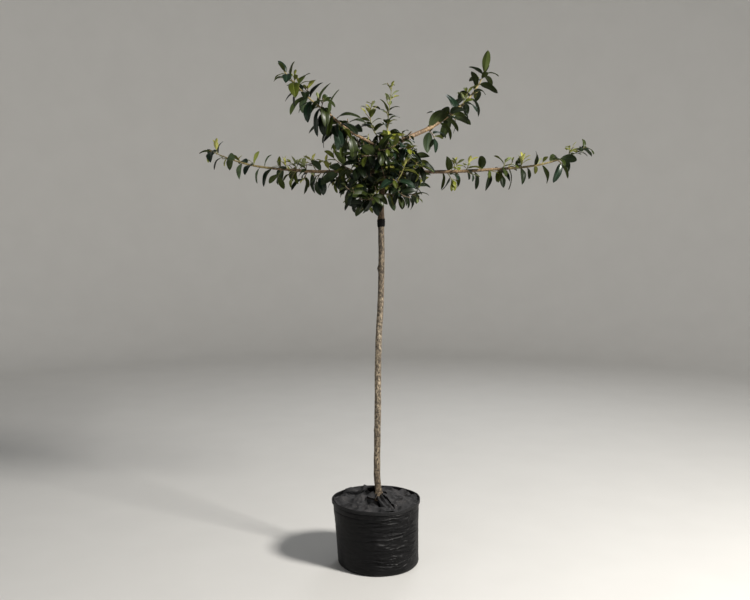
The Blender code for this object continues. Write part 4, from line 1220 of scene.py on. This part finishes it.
# blade: where the blade starts on the leaf's line. fold: how far its halves rise, as a share of their width.
# curl: how far its edges turn down again. wave and teeth: the edge's waviness and its toothing. point: under
# 1 the leaf is fuller. hook: how far the tip turns down below the leaf's own line, as a share of its length.
# sickle: how far the leaf bends sideways, the same. wide and long: its size against the spindle that kept
# its place.
Look = namedtuple("Look", "blade fold curl wave teeth point hook sickle wide long")
LOOKS = {
    "old": Look(0.10, 0.46, 0.30, 0.07, 0.030, 0.60, 0.42, 0.14, 1.08, 1.12),
    "mid": Look(0.09, 0.44, 0.24, 0.08, 0.036, 0.64, 0.32, 0.14, 1.12, 1.12),
    "raised": Look(0.08, 0.42, 0.16, 0.07, 0.036, 0.68, 0.14, 0.10, 0.94, 1.08),
    "young": Look(0.06, 0.42, 0.06, 0.08, 0.040, 0.90, 0.10, 0.08, 1.25, 1.15),
}
TINT_SEED = 19
SPRAY = 3  # how many of the leaves on a stem itself share a tint
LEAF_ROWS = 18
LEAF_PLACES = (-1.0, -0.60, -0.055, 0.055, 0.60, 1.0)
LEAF_SHEET = 0.00045  # a leaf's thickness
LEAF_WIDEST = 1.14  # over 1 a leaf is widest beyond its middle
LEAF_HALF_MOST = 0.0215  # the half width of the widest leaf
LEAF_TWIST = 0.35
LEAF_HOOK_FROM = 0.35
LEAF_NARROWEST = (0.0004, 0.00015)  # the least half width, and that at the tip
VEIN_RELIEF = 0.00055
RIB_SUNK = 0.0003
STALK_SIDES = 6
STALK_RADIUS = 0.0012
STALK_TAPER = 0.0005


def drawn_out(leaf, long, low, high):
    """The leaf made longer, as far as its tip stays within the box from low to high."""
    bend, tip = (leaf.root + (point - leaf.root) * long for point in (leaf.bend, leaf.tip))
    return leaf._replace(bend=bend, tip=tip) if within(tip, low, high) else leaf


def leaf_shape(leaf, look, draw):
    """Verts, faces and slots of a thin closed leaf: 0 its upper side, 1 its midrib, 2 its underside."""
    top, bottom = [], []
    phase = draw.uniform(0.0, math.tau)
    twist = draw.uniform(-LEAF_TWIST, LEAF_TWIST)
    sickle = draw.uniform(-look.sickle, look.sickle)
    half = min(leaf.width / 2 * look.wide, LEAF_HALF_MOST)
    length = (leaf.tip - leaf.root).length
    for row in range(LEAF_ROWS + 1):
        s = row / LEAF_ROWS
        t = look.blade + (1 - look.blade) * s
        odd = 1 if row % 2 else -1
        middle = leaf_middle(leaf, t)
        ahead = (leaf_middle(leaf, min(t + 0.02, 1.0)) - leaf_middle(leaf, t - 0.02)).normalized()
        across = (leaf.across - ahead * leaf.across.dot(ahead)).normalized()
        across = Quaternion(ahead, twist * (s - 0.5)) @ across
        normal = across.cross(ahead)
        wide = half * math.sin(math.pi * min(1.0, s * 0.97 + 0.03) ** LEAF_WIDEST) ** look.point
        wide = max(wide, LEAF_NARROWEST[0]) if row < LEAF_ROWS else LEAF_NARROWEST[1]
        tooth = look.teeth * half * odd if 1 < row < LEAF_ROWS - 1 else 0.0
        for u in LEAF_PLACES:
            out = wide * u * (1 - 0.10 * look.fold)
            if abs(u) == 1.0:
                out += math.copysign(tooth, u)
            rise = wide * (look.fold * abs(u) - look.curl * abs(u) ** 3)
            rise -= look.hook * length * max(0.0, s - LEAF_HOOK_FROM) ** 2
            if 0.1 < abs(u) < 1.0 and 0 < row < LEAF_ROWS:
                rise += VEIN_RELIEF * odd
            rise += look.wave * half * math.sin(s * 9.0 + phase + (2.0 if u > 0 else 0.0)) * abs(u) ** 2
            if abs(u) < 0.1:
                rise -= RIB_SUNK
            spot = middle + across * (out + sickle * length * s * s) + normal * rise
            top.append(spot)
            bottom.append(spot - normal * LEAF_SHEET)
    columns = len(LEAF_PLACES)
    faces, slots = [], []
    under = len(top)
    for row in range(LEAF_ROWS):
        for k in range(columns - 1):
            a = row * columns + k
            b = a + columns
            faces += [(a, a + 1, b + 1, b), (under + a, under + b, under + b + 1, under + a + 1)]
            slots += [1, 1] if k == columns // 2 - 1 and row < LEAF_ROWS - 2 else [0, 2]
        a, b = row * columns, row * columns + columns - 1
        faces.append((a, a + columns, under + a + columns, under + a))
        faces.append((b, under + b, under + b + columns, b + columns))
        slots += [0, 0]
    for k in range(columns - 1):
        a, b = k, LEAF_ROWS * columns + k
        faces += [(a, under + a, under + a + 1, a + 1), (b, b + 1, under + b + 1, under + b)]
        slots += [0, 0]
    return top + bottom, faces, slots


def make_leaves(masses, stalk_material):
    heaps = {tint: Heap() for tint in TINTS}
    stalks = Heap()
    draw = random.Random(TINT_SEED)
    tint_of = {}
    for mass in masses:
        low, high = reach_of(mass)
        for number, (leaf, own) in enumerate(mass.leaves):
            spray = (own, leaf.age) if own != mass.name else (own, leaf.age, number // SPRAY)
            if spray not in tint_of:
                kind = "on_arm" if own in LIMBS and leaf.age == "mid" else leaf.age
                tint_of[spray] = draw.choice(TINTS_OF_AGE[kind])
            look = LOOKS[leaf.age]
            leaf = drawn_out(leaf, look.long, low, high)
            heaps[tint_of[spray]].add(*leaf_shape(leaf, look, draw))
            places = (0.0, look.blade * 0.5, look.blade, look.blade + 0.06)
            stalk = [leaf_middle(leaf, t) for t in places]
            stalks.add(*sweep(stalk, lambda share: STALK_RADIUS - STALK_TAPER * share, STALK_SIDES))
    for tint, heap in heaps.items():
        heap.make("leaves_" + tint, leaf_materials(tint), "leaf", 55.0, FOLIAGE)
    stalks.make("leaf_stalks", [stalk_material], "leaf", nodes=FOLIAGE)


BUD_SEED = 5
TIP_BUDS = (0.006, 0.010)  # the shortest and longest
SIDE_BUDS = (0.004, 0.006)
SIDE_BUDS_FROM = 0.06
BUD_STEPS, BUD_SIDES = 6, 7


def make_buds(masses, material):
    """A pointed bud at the end of every shoot, and small ones along the arms."""
    heap = Heap()
    draw = random.Random(BUD_SEED)
    buds = []
    for mass in masses:
        for twig in [twig for twig, _ in mass.twigs] + [mass.stem]:
            way = (twig.path[-1] - twig.path[-2]).normalized()
            buds.append((twig.path[-1], way, draw.uniform(*TIP_BUDS)))
    for limb in LIMBS.values():
        path = limb_path(limb, LIMB_STEPS)
        distance = SIDE_BUDS_FROM
        turn = draw.uniform(0, math.tau)
        while distance < limb.length:
            spot, way = along(path, distance)
            radius = girth(limb, distance / limb.length, LIMB_TAPER)
            out = side_of(way, turn)
            buds.append((spot + out * radius * 0.8, (out * 0.6 + way).normalized(), draw.uniform(*SIDE_BUDS)))
            turn += GOLDEN_TURN
            distance += NODE_SPACING
    for spot, way, length in buds:
        line = [spot + way * length * k / BUD_STEPS for k in range(BUD_STEPS + 1)]

        def radius_at(share, length=length):
            return length * 0.20 * math.sin(math.pi * (0.25 + 0.72 * share))

        heap.add(*sweep(line, radius_at, BUD_SIDES))
    heap.make("buds", [material], "bark")


# ---- the bag, the soil and the weed mat

BAG_SIDES = 330
BAG_ROWS = 116
BAG_FOOT_ROWS = 6
UNDERSIDE_RADII = (0.0, 0.06, 0.12, BAG_FOOT_RADIUS - 0.012)
CREASED_FACING = -70.0  # degrees: the side of the bag that is pulled and creased
CREASED_HALF = 40.0
CREASED_EDGE = 7.0
UNCREASED = 0.05  # how creased the bag is elsewhere
# The folds: how fast they run round the bag, where they start, how fast they run up it, how sharp they are
# and how far they stand out.
FOLDS = ((7.5, 3.0, 46.0, 2.2, 0.0060), (16.0, 9.0, 84.0, 2.0, 0.0040), (34.0, 5.0, 118.0, 1.6, 0.0008))
CREASE_MIDDLE = 0.0028  # taken off the folds, so that they stand in as well as out
PUCKER = (-69.0, 0.208, 1.6, 0.022, 0.0030)  # facing, height, half widths, how far it stands out
SEAM_HEIGHT = 0.262
SEAM_HALF = 0.0022
SEAM_DEPTH = 0.0022
BAND_HEIGHT = 0.0155
BAND_THICKNESS = 0.0060
BAND_POINTS = 24
TUCK_DEPTH = 0.0022  # how far the cloth is drawn in under the sewn edge of its band
BAG_CLOTH = 0.0022
MAT_CLOTH = 0.0012


def ridged(value, sharp):
    return (1.0 - min(1.0, abs(value) * 2.4)) ** sharp


def crease_relief(turn, height):
    """Slack in the cloth: long level folds where the bag is pulled, and only a few faint ones elsewhere."""
    heading = math.degrees(turn)
    edge = math.exp((abs(between(heading, CREASED_FACING)) - CREASED_HALF) / CREASED_EDGE)
    pulled = UNCREASED + (1 - UNCREASED) / (1.0 + edge)
    way = Vector((math.cos(turn), math.sin(turn), 0.0)) * 0.19
    warp = noise.noise(way * 14.0 + Vector((0.0, 0.0, height * 14.0)))
    line = height + 0.012 * warp
    folds = 0.0
    for round_rate, phase, up_rate, sharp, proud in FOLDS:
        folds += proud * ridged(noise.noise(way * round_rate + Vector((phase, 0.0, line * up_rate))), sharp)
    facing, middle, wide, tall, proud = PUCKER
    pucker = bell(between(heading, facing) / wide, (height - middle) / tall)
    seam = bell((height - SEAM_HEIGHT - 0.002 * warp) / SEAM_HALF)
    return pulled * folds + proud * pucker - SEAM_DEPTH * seam


def leaning(x, y, height):
    """A point of the bag or of what it holds, whose axis leans."""
    return Vector((x + BAG_LEAN * height, y, height))


def bag_point(radius, turn, height):
    return leaning(radius * math.cos(turn), radius * math.sin(turn), height)


def rim_wave(turn):
    """How far the rim rises and dips round the bag."""
    return 0.0022 * math.sin(2 * turn + 0.7) + 0.0016 * math.sin(3 * turn + 2.0) + 0.0008 * math.sin(7 * turn)


def make_bag_cloth(material):
    """The wall from the middle of its underside to the rim, creased and sagging."""
    bends = spread(BAG_FOOT_ROWS + 1, 0.0, math.pi / 2)
    heights = [BAG_FOOT_ROUNDING * (1 - math.cos(bend)) for bend in bends]
    run = BAG_HEIGHT - HEM_HEIGHT * 0.4 - BAG_FOOT_ROUNDING
    heights += spread(BAG_ROWS + 1, BAG_FOOT_ROUNDING, run)[1:]
    band_foot = BAG_HEIGHT - BAND_HEIGHT

    def place(i, k):
        turn = math.tau * k / BAG_SIDES
        if i < len(UNDERSIDE_RADII):
            return bag_point(UNDERSIDE_RADII[i], turn, 0.0)
        height = heights[i - len(UNDERSIDE_RADII)]
        settled = min(1.0, height / 0.05, max(0.0, (band_foot - height) / 0.010))
        radius = bag_radius(height) - TUCK_DEPTH * bell((band_foot - 0.002 - height) / 0.0030)
        radius += settled * (crease_relief(turn, height) - CREASE_MIDDLE)
        broad = wobble(math.cos(turn) * 1.7, math.sin(turn) * 1.7, height * 9)
        fine = wobble(math.cos(turn) * 9, math.sin(turn) * 9, height * 55)
        radius += settled * (0.0022 * broad + 0.0006 * fine)
        return bag_point(radius, turn, height + height / BAG_HEIGHT * rim_wave(turn))

    shape = sheet(len(UNDERSIDE_RADII) + len(heights) - 1, BAG_SIDES, place)
    make_sheet(shape, "grow_bag_cloth", material, "bag_fabric", 70.0, ["grow_bag"], BAG_CLOTH)


def make_hem(material):
    """The turned-over hem: a flat roll of cloth round the rim, sewn along its lower edge."""
    half = BAND_HEIGHT / 2
    sides = BAG_SIDES * 2
    base = bag_radius(BAG_HEIGHT) - 0.0006

    def place(i, k):
        turn, round_turn = math.tau * i / sides, math.tau * k / BAND_POINTS
        out, up = math.cos(round_turn), math.sin(round_turn)
        out = math.copysign(abs(out) ** 0.55, out) * BAND_THICKNESS / 2
        up = math.copysign(abs(up) ** 0.65, up) * half
        pucker = 0.0006 * wobble(math.cos(turn) * 24, math.sin(turn) * 24, 0.0)
        pucker += 0.0012 * wobble(math.cos(turn) * 7, math.sin(turn) * 7, 3.0)
        stitched = 1.0 - 0.45 * bell((up + half * 0.45) / 0.0011)
        radius = base + (out + 0.0012) * (stitched if out > 0 else 1.0) + pucker
        return bag_point(radius, turn, BAG_HEIGHT - half - 0.0006 + up + rim_wave(turn))

    verts, faces = sheet(sides, BAND_POINTS, place, looped=True)
    outward = [face[::-1] for face in faces]
    make_sheet((verts, outward), "bag_hem", material, "bag_fabric", 70.0, ["grow_bag"])


SOIL_ROWS, SOIL_SIDES = 40, 96
SOIL_SUNK = 0.012
SOIL_DEPTH = 0.03
HEAPED_FACING = math.radians(115.0)  # the side of the stem where the compost is heaped and bared
HEAPED = 0.013


def make_soil(material):
    """Rough compost under the mat, seen in the gap round the stem and in the slit."""
    edge = bag_radius(SOIL_EDGE_HEIGHT) - 0.010

    def place(i, k):
        radius, turn = edge * i / SOIL_ROWS, math.tau * k / SOIL_SIDES
        x, y = radius * math.cos(turn), radius * math.sin(turn)
        lump = wobble(x * 60, y * 60, 1.0) * 0.0026 + wobble(x * 190, y * 190, 4.0) * 0.0012
        heaped = max(0.0, 1 - radius / 0.09) * (0.5 + 0.5 * math.cos(turn - HEAPED_FACING))
        z = soil_height(radius) - SOIL_SUNK + HEAPED * heaped + lump
        return leaning(x, y, z)

    shape = sheet(SOIL_ROWS, SOIL_SIDES, place, flipped=True)
    make_sheet(shape, "compost", material, "soil", 80.0, ["root_ball"], SOIL_DEPTH)


MAT_SIDES, MAT_ROWS = 300, 110
# The slit that the mat was slipped round the stem by: how far out, and which ways its two lips lie there.
SLIT_OUT = (0.000, 0.030, 0.060, 0.100, 0.132, 0.150)
SLIT_LEFT = (-102.0, -112.0, -150.0, -112.0, -76.0, -59.0)
SLIT_RIGHT = (-44.0, -47.0, -50.0, -53.0, -55.0, -58.0)
LIP_SIDES = 12.0
LIP_RISE = 0.007
MAT_INNER = 0.018
# Where the mat stands back from the stem and bares the soil: facing, half width, how much further.
BARED = ((128.0, 34.0, 0.062), (22.0, 20.0, 0.022))
COLLAR = 0.021  # how high the cloth stands up against the stem
# Where the cloth stands up in tufts: x, y, height, half width.
TUFTS = ((-0.052, 0.150, 0.016, 0.020), (0.138, 0.045, 0.009, 0.016), (-0.150, -0.055, 0.007, 0.020))
STEM_X = TRUNK_LEAN[0][1] - BAG_LEAN * SOIL_CROWN_HEIGHT
# The black sheet of painted shade under the slit: its rows, sides and reach.
SHADE_SHEET_ROWS, SHADE_SHEET_SIDES = 24, 96
SHADE_SHEET_RADIUS = 0.168
TONGUE_ROWS, TONGUE_COLUMNS = 60, 24
TONGUE_FROM, TONGUE_TO = Vector((0.002, 0.006)), Vector((0.060, -0.152))
TONGUE_HALF = (0.016, 0.028)
TONGUE_BOW = 0.008


def facets(x, y, scale):
    """Height of flat-sided dents with sharp creases between them, as in cloth that was crushed."""
    distances, _ = noise.voronoi(Vector((x * scale, y * scale, scale)))
    return distances[0]


def crumpled(x, y):
    drift = 0.012 * wobble(x * 14, y * 14, 2.0)
    large = facets(x + drift, y - drift, 19.0) * 0.0300
    small = facets(x - drift, y + drift, 41.0) * 0.0100
    folds = 0.0075 * ridged(wobble(x * 9 + y * 7, y * 21 - x * 6, 6.0), 2.5)
    return large + small + folds - 0.014


def make_cloth(shape, name, material):
    make_sheet(shape, name, material, "weed_mat", 80.0, ["weed_mat"], MAT_CLOTH, 1.0)


def make_mat_cloth(material):
    """The weed mat: crushed cloth with a slit in front of the stem, whose lips stand up a little."""
    edge = bag_radius(SOIL_EDGE_HEIGHT) - BAG_WALL - 0.002

    def place(i, k):
        share, around = i / MAT_ROWS, k / MAT_SIDES
        out = mix(MAT_INNER, edge, share)
        left, right = np.interp(out, SLIT_OUT, SLIT_LEFT), np.interp(out, SLIT_OUT, SLIT_RIGHT)
        facing = mix(right, left + 360.0, around)
        hole = MAT_INNER + 0.003 * wobble(facing * 0.03, 0.0, 9.0)
        for middle, half, more in BARED:
            hole += more * bell(between(facing, middle) / half)
        radius, turn = mix(hole, edge, share), math.radians(facing)
        x, y = STEM_X * (1 - share) + radius * math.cos(turn), radius * math.sin(turn)
        z = soil_height(math.hypot(x, y)) + 0.001 + crumpled(x, y)
        for a, b, tall, wide in TUFTS:
            z += tall * math.exp(-((x - a) ** 2 + (y - b) ** 2) / wide**2 * 1.4)
        lip = max(0.0, 1 - min(around, 1 - around) * MAT_SIDES / LIP_SIDES) * (out < SLIT_OUT[-1])
        z += lip * lip * LIP_RISE + COLLAR * (1 - share) ** 8
        z += 0.010 * max(0.0, share - 0.94) / 0.06 * wobble(math.cos(turn) * 5, math.sin(turn) * 5, 1.0)
        return leaning(x, y, z)

    make_cloth(sheet(MAT_ROWS, MAT_SIDES, place, closed=False, flipped=True), "weed_mat_cloth", material)


def make_slit_shade_sheet(material):
    """A black sheet laid under the slit as painted shade, so that the slit looks dark there; round the stem it
    leaves the soil bare.
    """

    def place(i, k):
        turn = math.tau * k / SHADE_SHEET_SIDES
        inner = 0.014 + 0.066 * max(0.0, math.cos(turn - HEAPED_FACING))
        radius = inner + (SHADE_SHEET_RADIUS - inner) * i / SHADE_SHEET_ROWS
        x, y = STEM_X + radius * math.cos(turn), radius * math.sin(turn)
        z = soil_height(math.hypot(x, y)) - 0.0090 + 0.2 * crumpled(x + 1.0, y)
        return leaning(x, y, z)

    make_cloth(sheet(SHADE_SHEET_ROWS, SHADE_SHEET_SIDES, place, flipped=True), "weed_mat_under", material)


def make_tongue(material):
    """The narrow strip of mat left in the slit, folded along its length, from the stem to the front."""
    side = (TONGUE_TO - TONGUE_FROM).normalized().orthogonal()

    def place(i, k):
        share, across = i / TONGUE_ROWS, k / TONGUE_COLUMNS * 2 - 1
        bow = TONGUE_BOW * math.sin(math.pi * share)
        spot = TONGUE_FROM.lerp(TONGUE_TO, share) - side * (mix(*TONGUE_HALF, share) * across + bow)
        x, y = spot.x + STEM_X, spot.y
        fold = 0.0065 * (1 - abs(across + 0.25) * 1.5) + 0.0035 * math.cos(across * 7 + share * 3)
        z = soil_height(math.hypot(x, y)) + 0.005 + fold + 0.4 * crumpled(x, y) + COLLAR * (1 - share) ** 5
        return leaning(x, y, z)

    shape = sheet(TONGUE_ROWS, TONGUE_COLUMNS, place, closed=False, flipped=True)
    make_cloth(shape, "weed_mat_tongue", material)


# ---- floor, light and camera

FLOOR_RADIUS = 6.0
FLOOR_SIDES = 96
FLOOR_SUNK = 0.0005
WALL_ROUNDING = 1.8
WALL_HEIGHT = 6.5
WALL_BENDS = 12
LIT_SPOT = Vector((0.0, 0.0, 1.2))
# Each light's place, size, watts and colour. All look at one spot.
LIGHTS = {
    "key": ((3.4, -2.6, 4.0), 1.0, 480.0, (1.0, 0.965, 0.91)),
    "fill": ((-3.4, -3.6, 2.6), 3.0, 15.0, (0.92, 0.96, 1.0)),
    "back": ((1.0, 3.8, 3.6), 2.0, 42.0, (0.96, 0.98, 1.0)),
}
SKY = {"Color": (0.93, 0.96, 1.0, 1.0), "Strength": 0.12}
CAMERA_PLACE = (-0.016, -4.15, 1.62)
CAMERA_DOWN = 5.6  # degrees
PHOTO_WIDTH = 750
FOCAL_PIXELS = 930.0
SENSOR = 36.0


def make_floor(material):
    """A round pale floor that curves up into a wall all round, so that it looks the same from every side."""
    profile = [(0.0, 0.0), (2.0, 0.0), (4.0, 0.0)]
    for turn in spread(WALL_BENDS + 1, 0.0, math.pi / 2):
        reach = FLOOR_RADIUS + WALL_ROUNDING * math.sin(turn)
        profile.append((reach, WALL_ROUNDING * (1 - math.cos(turn))))
    profile.append((FLOOR_RADIUS + WALL_ROUNDING, WALL_HEIGHT))

    def place(i, k):
        turn = math.tau * k / FLOOR_SIDES
        return profile[i][0] * math.cos(turn), profile[i][0] * math.sin(turn), profile[i][1] - FLOOR_SUNK

    verts, faces = sheet(len(profile) - 1, FLOOR_SIDES, place, flipped=True)
    mesh = bpy.data.meshes.new("floor")
    mesh.from_pydata(verts, [], faces)
    mesh.materials.append(material)
    mesh.shade_smooth()
    linked("floor", mesh)


def make_lights():
    for name, (place, size, watts, colour) in LIGHTS.items():
        data = bpy.data.lights.new(name, "AREA")
        data.shape = "DISK"
        data.size = size
        data.energy = watts
        data.color = colour
        light = linked(name, data)
        light.location = place
        light.rotation_euler = (LIT_SPOT - Vector(place)).to_track_quat("-Z", "Y").to_euler()
    world = bpy.data.worlds.new("studio")
    world.use_nodes = True
    for key, value in SKY.items():
        world.node_tree.nodes["Background"].inputs[key].default_value = value
    bpy.context.scene.world = world
    bpy.context.scene.view_settings.view_transform = "Standard"


def make_camera():
    data = bpy.data.cameras.new("camera")
    data.sensor_width = SENSOR
    data.lens = SENSOR * FOCAL_PIXELS / PHOTO_WIDTH
    camera = linked("camera", data)
    camera.location = CAMERA_PLACE
    camera.rotation_euler = (math.radians(90.0 - CAMERA_DOWN), 0.0, 0.0)
    bpy.context.scene.camera = camera


FOLIAGE = sorted(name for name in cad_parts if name.startswith("foliage_"))
TRUNK_LINE = trunk_path()


def main():
    make_camera()
    make_lights()
    make_floor(floor_material())
    make_trunk_bark([bark_material("stem"), bark_material("scion")])
    make_graft_tape(tape_material())
    make_limbs([bark_material(kind) for kind in ("arm", "arm_young", "arm_tip")])
    masses = grow_crown()
    make_twigs(masses, bark_material("twig"), green_material("shoot_green", (124, 122, 66)))
    make_leaves(masses, green_material("petiole", (120, 112, 66)))
    make_buds(masses, green_material("bud", (128, 104, 62)))
    cloth, mat = bag_material("bag_cloth", 0), mat_material()
    make_bag_cloth(cloth)
    # The hem's cloth is painted 16 steps paler, a painted highlight for the light on its lip.
    make_hem(bag_material("bag_hem_cloth", 16))
    make_soil(soil_material())
    make_mat_cloth(mat)
    # The black bag cloth serves as the painted shade under the slit.
    make_slit_shade_sheet(cloth)
    make_tongue(mat)


main()
